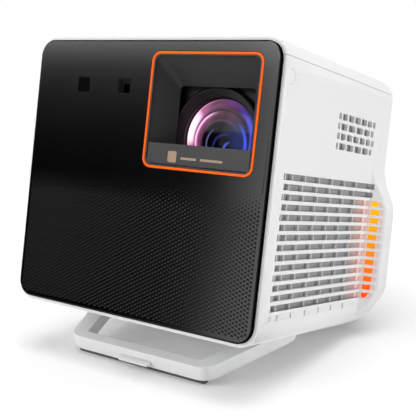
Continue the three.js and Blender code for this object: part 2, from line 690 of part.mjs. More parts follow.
function lightBar() {
  const span = rowBottom(WING_FIRST_ROW) + GRILLE.height - rowBottom(GRILLE.rows - 1);
  const bottom = rowBottom(GRILLE.rows - 1);
  const geometry = new THREE.BoxGeometry(2, RAMP_LENGTH - 6, span);
  geometry.translate(-3.9, 3 + (RAMP_LENGTH - 6) / 2, 0);
  geometry.rotateZ(-RAMP_ANGLE);
  geometry.translate(BODY_WIDTH / 2, WING.bend, bottom + span / 2);
  const inside = wingHull(WALL + GAP, SHELL_DEPTH - WALL - GAP, BODY_WIDTH / 2 - 20);
  const flush = wingHull(0.6, SHELL_DEPTH - WALL - GAP, BODY_WIDTH / 2 - 20);
  let shape = solid(geometry).intersect(inside);
  for (let row = WING_FIRST_ROW; row < GRILLE.rows; row++) {
    shape = join(shape, rampSlot(row, GAP, -0.6, 6).intersect(flush));
  }
  return shape;
}

placePair(body, "fan_frame", fanFrame(), darkPlastic);
placePair(body, "fan_rotor", fanRotor(), darkPlastic);
placePair(body, "speaker", speaker(), darkPlastic);
placePair(body, "vent_screen", box(103.2, 104.4, 10, 146, 16, 118), midGrey);
placePair(body, "light_bar", lightBar(), glow);

// ---------------------------------------------------------------- rear cover, ports and boards
const PORT_Z = 44;
const SOCKET_WALL = 1.1;
const PORTS = [
  { name: "dc_inlet", x: -66, w: 6.6, h: 6.6, round: true },
  { name: "usb_c_socket", x: -46, w: 8.8, h: 3 },
  { name: "usb_a_socket", x: -24, w: 13, h: 5.6 },
  { name: "hdmi_socket_1", x: 2, w: 14.6, h: 5 },
  { name: "hdmi_socket_2", x: 28, w: 14.6, h: 5 },
  { name: "audio_socket", x: 50, w: 3.8, h: 3.8, round: true },
];
const POCKET = { x0: -78, x1: 62, z0: 30, z1: 58, depth: 6 };

function portShape({ x, w, h, round }, grow) {
  return roundedRect(w + 2 * grow, h + 2 * grow, round ? w / 2 + grow - 0.01 : 0.9 + grow, x, PORT_Z);
}

function rearCover() {
  const back = SHELL_DEPTH - WALL;
  const outline = roundedRect(2 * REAR_INSET_X, REAR_HEIGHT, REAR_COVER_RADIUS, 0, REAR_MID_Z);
  const outer = alongY(outline, back - 1, REAR_END);
  const flange = box(-103, 103, back - 2.6, back - 0.4, 9.2, 192);
  const inner = alongY(
    roundedRect(2 * (REAR_INSET_X - WALL), REAR_HEIGHT - 2 * WALL, REAR_COVER_RADIUS - WALL, 0, REAR_MID_Z),
    SHELL_DEPTH - 12, REAR_END - WALL);
  let shape = cut(join(outer, flange), inner);
  const { x0, x1, z0, z1, depth } = POCKET;
  shape = join(shape, box(x0 - 2, x1 + 2, REAR_END - depth - WALL, REAR_END - 0.1, z0 - 2, z1 + 2));
  shape = cut(shape, box(x0, x1, REAR_END - depth, REAR_END + 1, z0, z1));
  for (const port of PORTS) {
    shape = cut(shape, alongY(portShape(port, SOCKET_WALL + GAP), REAR_END - 12, REAR_END, 2));
  }
  for (let row = 0; row < LOUVRE.rows; row++) {
    const z = LOUVRE.low + LOUVRE.pitch * row;
    const right = box(LOUVRE.near, LOUVRE.far, REAR_END - 9, REAR_END + 1, z, z + LOUVRE.height);
    const left = box(-LOUVRE.far, -LOUVRE.near, REAR_END - 9, REAR_END + 1, z, z + LOUVRE.height);
    shape = cut(shape, left, right);
  }
  for (const { x, z } of screwPlaces()) {
    shape = cut(shape, cylinder("y", 2.2, REAR_END - 9, REAR_END + 1, x, z, 12));
    shape = cut(shape, cylinder("y", 4, REAR_END - 1.6, REAR_END + 1, x, z, 16));
  }
  return shape;
}

function screwPlaces() {
  return [[-86, 68], [86, 68]].map(([x, z]) => ({ x, z }));
}

function socket(port) {
  const rear = REAR_END - POCKET.depth - 0.6;
  const outer = alongY(portShape(port, SOCKET_WALL), rear - 13, rear, 2);
  const inner = alongY(portShape(port, 0), rear - 9, rear + 1, 2);
  return cut(outer, inner);
}

place(body, "rear_cover", rearCover(), darkPlastic);
for (const port of PORTS) {
  place(body, port.name, socket(port), port.round ? satinBlack : metal);
}
screwPlaces().forEach(({ x, z }, index) => {
  const head = cylinder("y", 3.6, REAR_END - 1.4, REAR_END - 0.2, x, z, 16);
  const shank = cylinder("y", 1.8, REAR_END - 14, REAR_END - 1.2, x, z, 12);
  const drive = cylinder("y", 1.4, REAR_END - 0.9, REAR_END + 1, x, z, 6);
  place(body, "rear_screw_" + (index + 1), cut(join(head, shank), drive), metal);
});
place(body, "port_board", box(-82, 66, 189.6, 191.2, 30, 64), board);
place(body, "main_board", box(-88, 88, 30, 176, 182, 183.6), board);

// ---------------------------------------------------------------- keypad
const KEY_BOARD_TOP = 192.6;
place(body, "keypad_board", box(-60, 60, 138, 162, KEY_BOARD_TOP - 1.6, KEY_BOARD_TOP), board);
const BUTTON_NAMES = ["volume_down", "source", "power", "mode", "volume_up"];
buttonPlaces().forEach(({ x, y, r }, index) => {
  const proud = BODY_HEIGHT + 0.7;
  const cap = cylinder("z", r, BODY_HEIGHT - WALL - 0.4, proud, x, y, 16, r - 0.2);
  const skirt = cylinder("z", r + 1.2, BODY_HEIGHT - WALL - 1.6, BODY_HEIGHT - WALL - GAP, x, y, 12);
  const stem = cylinder("z", 2, KEY_BOARD_TOP + 1.1, BODY_HEIGHT - WALL - 1.4, x, y, 8);
  place(body, BUTTON_NAMES[index] + "_button", join(cap, skirt, stem), standGrey);
});

export default projector;
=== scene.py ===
import contextlib
import json
import math
import bpy
import bmesh
from mathutils import Matrix, Vector

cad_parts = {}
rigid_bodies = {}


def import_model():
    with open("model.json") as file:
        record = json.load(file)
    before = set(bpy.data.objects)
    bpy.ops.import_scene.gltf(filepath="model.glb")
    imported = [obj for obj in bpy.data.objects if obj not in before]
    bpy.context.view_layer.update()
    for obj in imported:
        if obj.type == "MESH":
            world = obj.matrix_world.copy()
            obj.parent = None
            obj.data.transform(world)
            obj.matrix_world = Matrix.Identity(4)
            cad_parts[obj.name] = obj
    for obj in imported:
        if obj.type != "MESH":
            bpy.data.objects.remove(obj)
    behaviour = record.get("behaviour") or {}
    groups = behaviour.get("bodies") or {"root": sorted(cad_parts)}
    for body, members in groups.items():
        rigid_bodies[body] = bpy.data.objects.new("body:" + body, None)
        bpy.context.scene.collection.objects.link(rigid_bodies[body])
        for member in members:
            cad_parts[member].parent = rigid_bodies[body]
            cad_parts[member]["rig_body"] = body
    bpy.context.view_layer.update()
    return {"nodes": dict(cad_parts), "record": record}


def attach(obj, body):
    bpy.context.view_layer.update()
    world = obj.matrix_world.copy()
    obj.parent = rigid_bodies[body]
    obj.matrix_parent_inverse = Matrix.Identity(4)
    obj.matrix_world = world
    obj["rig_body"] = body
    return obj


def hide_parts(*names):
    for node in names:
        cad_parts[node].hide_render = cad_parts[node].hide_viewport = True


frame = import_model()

# A home projector: a leaning cube on a kickstand. Shapes are drawn in millimetres in the body's own
# leaning frame (x right, y to the rear, z up) or in the stand's frame, and then put into the world.

# ---- driving dimensions, millimetres
MM = 0.001
GAP = 0.3
BODY_W = 216
BODY_H = 201.6
DEPTH = 186
CORNER = 15
REAR_ROUND = 12
WALL = 3
SCREEN_DEPTH = 3.3                # the grey cloth is this far behind the side's face
TILT = math.radians(11)
SEAM_TOP = 190.4                  # the top cover begins above this height
SEAM_SIDE = 93                    # and the side covers begin this far from the middle
HALF = BODY_W / 2
MID_Z = BODY_H / 2
SIDE_CUT = (HALF - 5, HALF + 1)   # from inside the side wall to outside it
THROUGH_FRONT = (-9, 9)           # depths that cut right through the thin parts of the front
FORWARD = Vector((0, -1, 0))

PANEL_W = 210
PANEL_H = 196.5
PANEL_R = 12
PANEL_Z = 100.85
PANEL_FRONT = -3
PANEL_STEP = -2.05                # the glossy plate ends here; a dull edge band is behind it
PANEL_INSET = 0.7                 # and the plate is this much smaller than the band all round

RING = {"x": 48, "z": 150.8, "w": 91.2, "h": 82.2, "r": 7.5, "line": 2.4}
BAY = {"depth": 15, "w": 61.5, "top": 169.9, "bottom": 114.5}
STRIP_TOP = 128
LENS_Z = 134.6
GLASS_R = 29

SENSOR = {"x": -58.25, "z": 166.25, "w": 11.5, "h": 11.1}
# The perforated lower half of the front panel: a honeycomb of small pits.
DOT_PITCH = 2.83
DOT_CELL = DOT_PITCH / math.sqrt(3)
DOT_LOW = 5.6                     # the height of the lowest row of pits
DOT_TOP = 102.6
DOT_FADE = 16                     # over this height the pits shrink towards the top
PIT_LEAST = 0.2
PIT_GROWTH = 0.9
DOT_BED = 0.9                     # the depth of the bed that holds them
CELL_CORNERS = ((2, 0), (1, 1), (-1, 1), (-2, 0), (-1, -1), (1, -1))

CAMERA_HOLE = {"x": -20, "z": 166.25, "w": 12, "h": 11.1}
CAMERA_HOLE_DEPTH = 1.2
CAMERA_HOLE_DROP = 1.3            # the dark hole's centre is this far below the recess's
SIDE_CAP = {"y": 7, "z": 177.5, "r": 5}

ROWS = 14
SLITS = (13.5, 23.7, 43.3, 65, 87, 109, 131, 152)   # between these the lowest row is a groove
ROW_TOP = 115.8
ROW_PITCH = 6.7
ROW_H = 4.3
WING = {"out": 13.5, "bend": 160, "ridge": 167,
        "top": 131, "full_top": 93, "full_bottom": 36, "bottom": 9.5}
RAMP = math.atan2(WING["out"], WING["ridge"] - WING["bend"])
LIT_ROWS = range(2, ROWS)         # the rows with light segments, counted from the top
RAMP_CUT = (5, 3)                 # from this far below the ramp to this far above it

REAR_X = 95
REAR_LOW = 10
REAR_HIGH = 190
REAR_END = 213

LOUVRE = {"low": 84, "pitch": 9.6, "rows": 10, "height": 4.4, "near": 3, "far": 84}
PORT_BAY = (-78, 62, 30, 58)      # its two sides, its bottom and its top
PORT_DEPTH = 6
SCREW = {"x": 86, "z": 68}
SOCKETS = ("dc_inlet", "usb_c_socket", "usb_a_socket", "hdmi_socket_1", "hdmi_socket_2", "audio_socket")
ROUND_SOCKETS = ("dc_inlet", "audio_socket")
SMALL_PARTS = ("dc_inlet", "audio_socket", "usb_c_socket", "usb_a_socket", "hdmi_socket_1",
               "hdmi_socket_2", "rear_screw_1", "rear_screw_2", "left_rear_foot", "right_rear_foot",
               "tripod_insert", "left_hinge_bracket", "right_hinge_bracket")
BUTTONS = ("volume_down_button", "source_button", "power_button", "mode_button", "volume_up_button")

HINGE_Y = 103                     # the stand turns about this line under the body
HINGE_Z = 3.6
STAND_OPEN = math.radians(20.4)

# The body's frame in the world: its origin is the middle of the body's lower front edge.
BODY_ORIGIN = Vector((0, -121.64, 40))
BODY = Matrix.Scale(MM, 4) @ Matrix.Translation(BODY_ORIGIN) @ Matrix.Rotation(-TILT, 4, "X")
HINGE = BODY_ORIGIN + Matrix.Rotation(-TILT, 3, "X") @ Vector((0, HINGE_Y, HINGE_Z))
STAND = Matrix.Scale(MM, 4) @ Matrix.Translation(HINGE) @ Matrix.Rotation(STAND_OPEN - TILT, 4, "X")
MIRROR = Matrix.Scale(-1, 4, Vector((1, 0, 0)))

# The studio, in metres and in the world's frame. Each lamp: name, place, size and power.
LAMPS = (("top", (0.1, 0.1, 1.6), (1.5, 1.5), 24),
         ("right", (1.9, 0.6, 0.5), (1.4, 0.9), 9.6),
         ("left", (-1.3, -1.1, 0.6), (1.0, 1.0), 17))
LAMP_AIM = Vector((0, 0, 0.12))
FLAG_CENTRE = Vector((0, -0.1, 0.12))
FLAG_DIRECTION = Vector((-0.5436, -0.8308, 0.1190))
FLAG_AWAY = 1.6
WALL_RADIUS = 9
NEAR_FLOOR = 1.2
FAR_FLOOR = 0.75
CAMERA_PLACE = (0.3552, -0.54744, 0.2350)
SENSOR_WIDTH = 36                 # millimetres, as is the focal length
FOCAL_LENGTH = 70.39
CAMERA_LOOK = Vector((-0.54362, 0.81493, -0.20093))


# ---- mesh helpers
def mesh_object(name, vertices, faces):
    mesh = bpy.data.meshes.new(name)
    mesh.from_pydata([tuple(v) for v in vertices], [], faces)
    mesh.update()
    return from_mesh(name, mesh)


def from_mesh(name, mesh):
    thing = bpy.data.objects.new(name, mesh)
    bpy.context.scene.collection.objects.link(thing)
    return thing


def from_bmesh(name, bm):
    mesh = bpy.data.meshes.new(name)
    bm.to_mesh(mesh)
    bm.free()
    return from_mesh(name, mesh)


def discard(thing):
    mesh = thing.data
    bpy.data.objects.remove(thing)
    bpy.data.meshes.remove(mesh)


def arc(cx, cy, radius, start, steps):
    """A quarter circle, anticlockwise from the angle start."""
    angles = [math.radians(start + 90 * i / steps) for i in range(steps + 1)]
    return [(cx + radius * math.cos(angle), cy + radius * math.sin(angle)) for angle in angles]


def rounded(cx, cy, width, height, radius, steps=8):
    """The outline of a rounded rectangle, anticlockwise."""
    points = []
    for sx, sy, start in ((1, 1, 0), (-1, 1, 90), (-1, -1, 180), (1, -1, 270)):
        points += arc(cx + sx * (width / 2 - radius), cy + sy * (height / 2 - radius), radius, start, steps)
    return points


@contextlib.contextmanager
def edited(thing):
    """Opens a thing's mesh for changes and writes it back afterwards."""
    bm = bmesh.new()
    bm.from_mesh(thing.data)
    yield bm
    bm.to_mesh(thing.data)
    bm.free()


def circle(cx, cy, radius, sides=48):
    angles = [2 * math.pi * i / sides for i in range(sides)]
    return [(cx + radius * math.cos(angle), cy + radius * math.sin(angle)) for angle in angles]


def axis_point(axis, a, b, c):
    """Puts outline coordinates a, b and the height c along the axis into x, y, z."""
    if axis == "x":
        return (c, a, b)
    if axis == "y":
        return (a, c, b)
    return (a, b, c)


def between(x0, x1, z0, z1, radius, steps):
    """A rounded rectangle between two sides, a bottom and a top."""
    return rounded((x0 + x1) / 2, (z0 + z1) / 2, x1 - x0, z1 - z0, radius, steps)


def band_faces(here, there, count):
    """The faces between two loops of count points, which start at the indices here and there."""
    return [(here + i, here + (i + 1) % count, there + (i + 1) % count, there + i) for i in range(count)]


def block_faces(base, count):
    """Two ends and the faces between them, for two loops of count points that follow each other."""
    ends = [list(range(base, base + count)), list(range(base + count, base + 2 * count))]
    return ends + band_faces(base, base + count, count)


def prisms(outlines, axis, low, high):
    """One mesh of straight bodies along the axis, one for each outline."""
    vertices = []
    faces = []
    for outline in outlines:
        faces += block_faces(len(vertices), len(outline))
        vertices += [axis_point(axis, a, b, end) for end in (low, high) for a, b in outline]
    return outward(mesh_object("solid", vertices, faces))


def prism(outline, axis, low, high):
    return prisms([outline], axis, low, high)


def outward(thing):
    with edited(thing) as bm:
        bmesh.ops.recalc_face_normals(bm, faces=bm.faces)
    return thing


def boxes(spans):
    """One mesh of separate boxes, each given as (x0, x1, y0, y1, z0, z1)."""
    vertices = []
    faces = []
    for x0, x1, y0, y1, z0, z1 in spans:
        base = len(vertices)
        vertices += [(x, y, z) for z in (z0, z1) for y in (y0, y1) for x in (x0, x1)]
        for quad in ((0, 2, 3, 1), (4, 5, 7, 6), (0, 1, 5, 4), (2, 6, 7, 3), (0, 4, 6, 2), (1, 3, 7, 5)):
            faces.append([base + i for i in quad])
    return mesh_object("boxes", vertices, faces)


def turned(profile, x, z, sides=64):
    """A profile of (radius, y) turned about the Y axis through x and z."""
    vertices = []
    rings = []
    for radius, y in profile:
        ring = circle(x, z, radius, sides) if radius > 1e-6 else [(x, z)]
        rings.append(range(len(vertices), len(vertices) + len(ring)))
        vertices += [(a, y, b) for a, b in ring]
    faces = []
    for near, far in zip(rings, rings[1:]):
        for i in range(sides):
            j = (i + 1) % sides
            loop = [near[i % len(near)], near[j % len(near)], far[j % len(far)], far[i % len(far)]]
            unique = list(dict.fromkeys(loop))
            if len(unique) > 2:
                faces.append(unique)
    return outward(mesh_object("solid", vertices, faces))


def hull(points):
    bm = bmesh.new()
    for point in points:
        bm.verts.new(point)
    bmesh.ops.convex_hull(bm, input=bm.verts)
    loose = [v for v in bm.verts if not v.link_faces]
    bmesh.ops.delete(bm, geom=loose, context="VERTS")
    bmesh.ops.dissolve_limit(bm, angle_limit=math.radians(0.5), verts=bm.verts, edges=bm.edges)
    bmesh.ops.recalc_face_normals(bm, faces=bm.faces)
    return from_bmesh("hull", bm)


def baked(thing):
    """Applies the modifiers of a thing to its mesh."""
    graph = bpy.context.evaluated_depsgraph_get()
    mesh = bpy.data.meshes.new_from_object(thing.evaluated_get(graph))
    old = thing.data
    thing.modifiers.clear()
    thing.data = mesh
    bpy.data.meshes.remove(old)
    return thing


def boolean(thing, tools, operation):
    for tool in tools:
        modifier = thing.modifiers.new("cut", "BOOLEAN")
        modifier.operation = operation
        modifier.solver = "EXACT"
        modifier.object = tool
        baked(thing)
        discard(tool)
    return thing


def cut(thing, *tools):
    return boolean(thing, tools, "DIFFERENCE")


def join(thing, *tools):
    return boolean(thing, tools, "UNION")


def common(thing, *tools):
    return boolean(thing, tools, "INTERSECT")


def rounded_face(thing, y, width, segments=6):
    """Rounds the edges that lie in the plane at y."""
    rim = thing.modifiers.new("rim", "BEVEL")
    rim.limit_method = "WEIGHT"
    rim.width = width
    rim.segments = segments
    weights = thing.data.attributes.new("bevel_weight_edge", "FLOAT", "EDGE")
    for edge in thing.data.edges:
        off = [abs(thing.data.vertices[i].co.y - y) for i in edge.vertices]
        weights.data[edge.index].value = 1.0 if max(off) < 0.01 else 0.0
    return baked(thing)


def cleaned(thing):
    """Merges what the booleans split: doubled points and flat faces cut into strips."""
    with edited(thing) as bm:
        bmesh.ops.remove_doubles(bm, verts=bm.verts, dist=1e-3)
        bmesh.ops.dissolve_limit(bm, angle_limit=math.radians(0.3), verts=bm.verts, edges=bm.edges)
    return thing


def soften(thing, width, segments=2, angle=20, facing=None):
    """Rounds every edge that turns by more than angle, and keeps flat faces flat.

    Faces that point along facing are shaded as one plane."""
    if width:
        bevel = thing.modifiers.new("bevel", "BEVEL")
        bevel.width = width
        bevel.segments = segments
        bevel.limit_method = "ANGLE"
        bevel.angle_limit = math.radians(angle)
        bevel.use_clamp_overlap = True
        bevel.miter_outer = "MITER_ARC"
        baked(thing)
    for polygon in thing.data.polygons:
        polygon.use_smooth = facing is None or polygon.normal.dot(facing) < 0.9999
    thing.data.set_sharp_from_angle(angle=math.radians(50))
    weighted = thing.modifiers.new("normals", "WEIGHTED_NORMAL")
    weighted.keep_sharp = True
    weighted.weight = 80
    return baked(thing)


def piece(thing, name, matrix, body, material, replaces=(), inside=None):
    """Puts a finished mesh into the world as a piece of the visual model.

    inside is a second material and the depth (y) behind which it begins."""
    deep = [int(polygon.center.y > inside[1]) for polygon in thing.data.polygons] if inside else []
    thing.name = name
    thing.data.name = name
    thing.data.transform(matrix)
    if matrix.determinant() < 0:
        thing.data.flip_normals()
    thing.data.materials.clear()
    thing.data.materials.append(material)
    if inside:
        thing.data.materials.append(inside[0])
        thing.data.polygons.foreach_set("material_index", deep)
    if replaces:
        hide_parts(*replaces)
    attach(thing, body)
    return thing


def housed(thing, name, material, inside=None):
    """An added piece of the body itself."""
    return piece(thing, name, BODY, "housing", material, (), inside)


def replacing(thing, node, material, inside=None):
    """The piece that stands in for a node of the body."""
    return piece(thing, node + "_look", BODY, "housing", material, (node,), inside)


def copy_of(thing):
    return from_mesh(thing.name + "_copy", thing.data.copy())


def refined(node, width=0.3, segments=2, matrix=BODY, angle=24):
    """A CAD node's own shape with its edges rounded."""
    source = frame["nodes"][node]
    shape = from_mesh(node, source.data.copy())
    shape.data.transform(matrix.inverted())
    soften(cleaned(shape), width, segments, angle)
    slot = SLOTS[node]
    return piece(shape, node + "_look", matrix, source["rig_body"], LOOKS[slot], (node,))


def pair(thing, name, material, replaces=True):
    """The right piece as drawn and the left one mirrored."""
    left = copy_of(thing)
    for side, shape, matrix in (("right", thing, BODY), ("left", left, BODY @ MIRROR)):
        nodes = (side + "_" + name,) if replaces else ()
        piece(shape, side + "_" + name + "_look", matrix, "housing", material, nodes)


# ---- materials
def feed(tree, node, inputs):
    """Gives a node's inputs, by their names or numbers, values or other nodes' outputs."""
    for key, value in inputs.items():
        if isinstance(value, bpy.types.NodeSocket):
            tree.links.new(value, node.inputs[key])
        else:
            node.inputs[key].default_value = value


def added(tree, kind, inputs, operation=None):
    """A new node with its inputs fed."""
    node = tree.nodes.new("ShaderNode" + kind)
    if operation:
        node.operation = operation
    feed(tree, node, inputs)
    return node


def shaded(name, inputs):
    """A new material, its tree of nodes and its shader."""
    made = bpy.data.materials.new(name)
    made.use_nodes = True
    shader = made.node_tree.nodes["Principled BSDF"]
    feed(made.node_tree, shader, inputs)
    return made, made.node_tree, shader


def calculated(tree, operation, *values):
    """The result of an operation on numbers or outputs."""
    return added(tree, "Math", dict(enumerate(values)), operation).outputs["Value"]


def stepped(tree, value, low, high, top=1.0):
    """A soft step from 0 to top as value goes from low to high."""
    node = tree.nodes.new("ShaderNodeMapRange")
    node.interpolation_type = "SMOOTHSTEP"
    feed(tree, node, {"Value": value, "From Min": low, "From Max": high, "To Max": top})
    return node.outputs["Result"]


def mixed(tree, first, second, factor):
    """A colour between two others."""
    node = tree.nodes.new("ShaderNodeMix")
    node.data_type = "RGBA"
    feed(tree, node, {"A": first, "B": second, "Factor": factor})
    return node.outputs["Result"]


def noise(tree, place, scale, detail):
    return added(tree, "TexNoise", {"Vector": place, "Scale": scale, "Detail": detail}).outputs["Fac"]


def own_place(tree):
    """The place of the shaded point in its mesh's own coordinates, in metres."""
    return tree.nodes.new("ShaderNodeTexCoord").outputs["Object"]


def split(tree, place):
    """The x, y and z of a place."""
    return tuple(added(tree, "SeparateXYZ", {"Vector": place}).outputs)


def body_place(tree):
    """The x, y and z of the shaded point in the body's own frame, in millimetres."""
    origin = Matrix.Rotation(TILT, 3, "X") @ BODY_ORIGIN
    inputs = {"Vector": own_place(tree), "Location": -origin, "Rotation": (TILT, 0, 0),
              "Scale": (1 / MM, 1 / MM, 1 / MM)}
    return split(tree, added(tree, "Mapping", inputs).outputs["Vector"])


def material(name, color, roughness, metallic=0.0, grain=0.0, grain_size=0.4, shade=0.04, coat=0.0,
             spread=0.05, specular=0.5):
    """A moulded or metal surface: fine grain in the bump, slow variation in colour and roughness."""
    made, tree, shader = shaded(name, {"Metallic": metallic, "Coat Weight": coat, "Coat Roughness": 0.06,
                                       "Specular IOR Level": specular})
    place = own_place(tree)
    slow = noise(tree, place, 22, 3)
    darker = [c * (1 - shade) for c in color] + [1]
    lighter = [min(1, c * (1 + shade)) for c in color] + [1]
    rough = added(tree, "MapRange", {"Value": slow, "To Min": max(0.02, roughness - spread),
                                     "To Max": roughness + spread})
    feed(tree, shader, {"Base Color": mixed(tree, darker, lighter, slow),
                        "Roughness": rough.outputs["Result"]})
    if grain:
        bump = added(tree, "Bump", {"Height": noise(tree, place, 1 / (grain_size * MM), 2),
                                    "Strength": grain, "Distance": 0.00005})
        tree.links.new(bump.outputs["Normal"], shader.inputs["Normal"])
    return made


WHITE = material("white_shell", (0.86, 0.86, 0.86), 0.42, grain=0.25, shade=0.01)
STAND_GREY = material("stand_grey", (0.84, 0.845, 0.85), 0.45, grain=0.25, shade=0.015)
GLOSS = material("gloss_black", (0.0008, 0.0008, 0.001), 0.16, coat=0.6, shade=0.1, spread=0.02)
SATIN = material("satin_black", (0.012, 0.012, 0.013), 0.4, grain=0.1)
PIT = material("pit_black", (0.0008, 0.0008, 0.001), 0.16, coat=0.32, spread=0.02, specular=0.3)
VELVET = material("dull_black", (0.0015, 0.0015, 0.0015), 0.9, specular=0.02)
SENSOR_BLACK = material("sensor_black", (0.0025, 0.0022, 0.0022), 0.12, specular=0.06)
FUNNEL = material("funnel_black", (0.014, 0.014, 0.015), 0.45, grain=0.1, specular=0.3)
BARREL = material("barrel_black", (0.006, 0.006, 0.0065), 0.45, grain=0.1, specular=0.3)
BAY_DARK = material("bay_grey", (0.032, 0.032, 0.0325), 0.4, grain=0.2, specular=0.5)
STRIP = material("strip_grey", (0.03, 0.03, 0.031), 0.4, grain=0.2)
REAR_DARK = material("rear_dark", (0.03, 0.03, 0.032), 0.5, grain=0.35)
# The ribs are the shell's white plastic, greyed as painted shade for their place behind the bars.
SHADED_RIB = material("rib_white_painted_shade", (0.58, 0.58, 0.58), 0.5, grain=0.25, shade=0.01)
# Painted shade: the dark grey inside the blind row's slits.
SLIT_SHADE = material("slit_painted_shade", (0.09, 0.09, 0.09), 0.8, grain=0.25, specular=0.1)
SCREEN = material("screen_grey", (0.27, 0.27, 0.275), 0.8, grain=0.6, grain_size=0.6)
ORANGE = material("orange_trim", (1.0, 0.13, 0.004), 0.4, grain=0.1, shade=0.02, specular=0.15)
RUBBER = material("rubber", (0.11, 0.11, 0.113), 0.75, grain=0.5)
STEEL = material("steel", (0.5, 0.5, 0.51), 0.3, metallic=1, grain=0.15)
ALUMINIUM = material("aluminium", (0.72, 0.73, 0.75), 0.35, metallic=1, grain=0.2)
COPPER = material("copper", (0.72, 0.35, 0.2), 0.3, metallic=1)
BOARD = material("circuit_board", (0.02, 0.12, 0.06), 0.45, grain=0.2)
BADGE = material("badge_tan", (0.34, 0.23, 0.16), 0.5)


# ---- white shells
def side_outline(front, rear, low, high, radius, steps=10):
    """The shell from the side: square at the front, rounded at the rear."""
    middle = rear - radius
    return [(front, low), *arc(middle, low + radius, radius, -90, steps),
            *arc(middle, high - radius, radius, 0, steps), (front, high)]


def wing_out(z):
    """How far the wing stands out at height z: an S curve at the top, a quarter sine at the bottom."""
    t = min(1.0, max(0.0, (WING["top"] - z) / (WING["top"] - WING["full_top"])))
    u = min(1.0, max(0.0, (z - WING["bottom"]) / (WING["full_bottom"] - WING["bottom"])))
    return WING["out"] * t * t * (3 - 2 * t) * math.sin(u * math.pi / 2)


def curve(a, b, c):
    """Five points of a quadratic curve from a to c."""
    return [tuple(a * (1 - t) ** 2 + b * 2 * t * (1 - t) + c * t * t) for t in (0, 0.25, 0.5, 0.75, 1)]


def wing_section(out):
    """The wing's outline in x and y: up the ramp, over the rounded ridge, and round the rear edge."""
    lean = math.cos(RAMP) / math.sin(RAMP)
    ridge_y = WING["bend"] + out * lean
    ease = min(1.6, 0.4 * out / math.sin(RAMP))
    rear = min(4.0, 0.7 * out)
    edge = HALF + out
    before = Vector((edge - ease * math.sin(RAMP), ridge_y - ease * math.cos(RAMP)))
    ridge = curve(before, Vector((edge, ridge_y)), Vector((edge, ridge_y + ease)))
    corner = curve(Vector((edge, DEPTH - rear)), Vector((edge, DEPTH)), Vector((edge - rear, DEPTH)))
    return [(HALF - 2, WING["bend"] - 2 * lean)] + ridge + corner + [(HALF - 2, DEPTH)]


def wing():
    """The wing's solid, lofted through its sections from the bottom to the top."""
    top, full_top = WING["top"], WING["full_top"]
    low, full_low = WING["bottom"], WING["full_bottom"]
    levels = [low + 0.05] + [low + (full_low - low) * i / 14 for i in range(1, 15)]
    levels += [full_top + (top - full_top) * i / 18 for i in range(18)] + [top - 0.4]
    vertices = []
    faces = []
    for z in levels:
        section = wing_section(max(0.02, wing_out(z)))
        vertices += [(x, y, z) for x, y in section]
    count = len(section)
    last = len(vertices) - count
    for here in range(0, last, count):
        faces += band_faces(here, here + count, count)
    faces += [list(range(count)), list(range(last, last + count))]
    return outward(mesh_object("wing", vertices, faces))


def shell():
    """The hollow body, open at the front, with the rear cover's opening."""
    span = HALF + 9
    outer = prism(rounded(0, MID_Z, BODY_W, BODY_H, CORNER, 12), "y", 0, DEPTH)
    outer_side = side_outline(-1, DEPTH, 0, BODY_H, REAR_ROUND)
    outer = common(outer, prism(outer_side, "x", -span, span))
    inner = prism(rounded(0, MID_Z, BODY_W - 2 * WALL, BODY_H - 2 * WALL, CORNER - WALL, 12),
                  "y", -1, DEPTH - WALL)
    inner_side = side_outline(-2, DEPTH - WALL, WALL, BODY_H - WALL, REAR_ROUND / 2)
    inner = common(inner, prism(inner_side, "x", -span, span))
    width = 2 * (REAR_X + GAP)
    height = REAR_HIGH - REAR_LOW + 2 * GAP
    opening = rounded(0, (REAR_LOW + REAR_HIGH) / 2, width, height, 10)
    mouth = prism(opening, "y", DEPTH - 2 * WALL, DEPTH + 1)
    return cut(outer, inner, mouth)


def row_low(row):
    return ROW_TOP - ROW_PITCH * row - ROW_H


def row_span(row, inset=0.0):
    """The bottom and the top of a row's opening, or of something smaller by inset in it."""
    return row_low(row) + inset, row_low(row) + ROW_H - inset


def row_box(row, start, end, inset=0.0):
    """A plain box (s, z) along the ramp in a row."""
    low, high = row_span(row, inset)
    return [(start, low), (end, low), (end, high), (start, high)]


def ribs_of(row):
    """Where the grille's upright ribs stand in a row: close together near the front, then evenly."""
    later = [45 + 22 * k for k in range(5)]
    if row % 2 == 0:
        return [15.2, 25.4] + later
    return [21.8] + [y - 3.4 for y in later]


def row_start(row):
    return 11.6 if row % 2 == 0 else 12.8


def ridge_at(z):
    """The length of the ramp at height z."""
    return wing_out(z) / math.sin(RAMP)


def lit_span(row, inset=0.0):
    """A light segment's window in (s, z): the first and last ones end along the ridge's curve."""
    low, high = row_span(row, inset)
    ends = [min(9.9, ridge_at(z) - 6.0) - inset for z in (low, high)]
    return [(2.2 + inset, low), (ends[0], low), (ends[1], high), (2.2 + inset, high)]


def pale_span(row, inset=0.0):
    """The window of the pale guide beside a light segment."""
    low, high = row_span(row, inset)
    ends = [min(12.8, ridge_at(z) - 3.0) for z in (low, high)]
    starts = [min(10.5, end - 2.3) + inset for end in ends]
    ends = [end - inset for end in ends]
    return [(starts[0], low), (ends[0], low), (ends[1], high), (starts[1], high)]


def on_ramp(outlines, deep, rise):
    """Prisms square to the ramp, from outlines in (s, z), from deep below the ramp to rise above it."""
    normal = Vector((math.cos(RAMP), -math.sin(RAMP), 0))
    along = Vector((math.sin(RAMP), math.cos(RAMP), 0))
    foot = Vector((HALF, WING["bend"], 0))
    vertices = []
    faces = []
    for outline in outlines:
        faces += block_faces(len(vertices), len(outline))
        for height in (-deep, rise):
            vertices += [foot + along * s + normal * height + Vector((0, 0, z)) for s, z in outline]
    return outward(mesh_object("on_ramp", vertices, faces))


def side_cap_disc(slack, low, high):
    return prism(circle(SIDE_CAP["y"], SIDE_CAP["z"], SIDE_CAP["r"] + slack), "x", low, high)


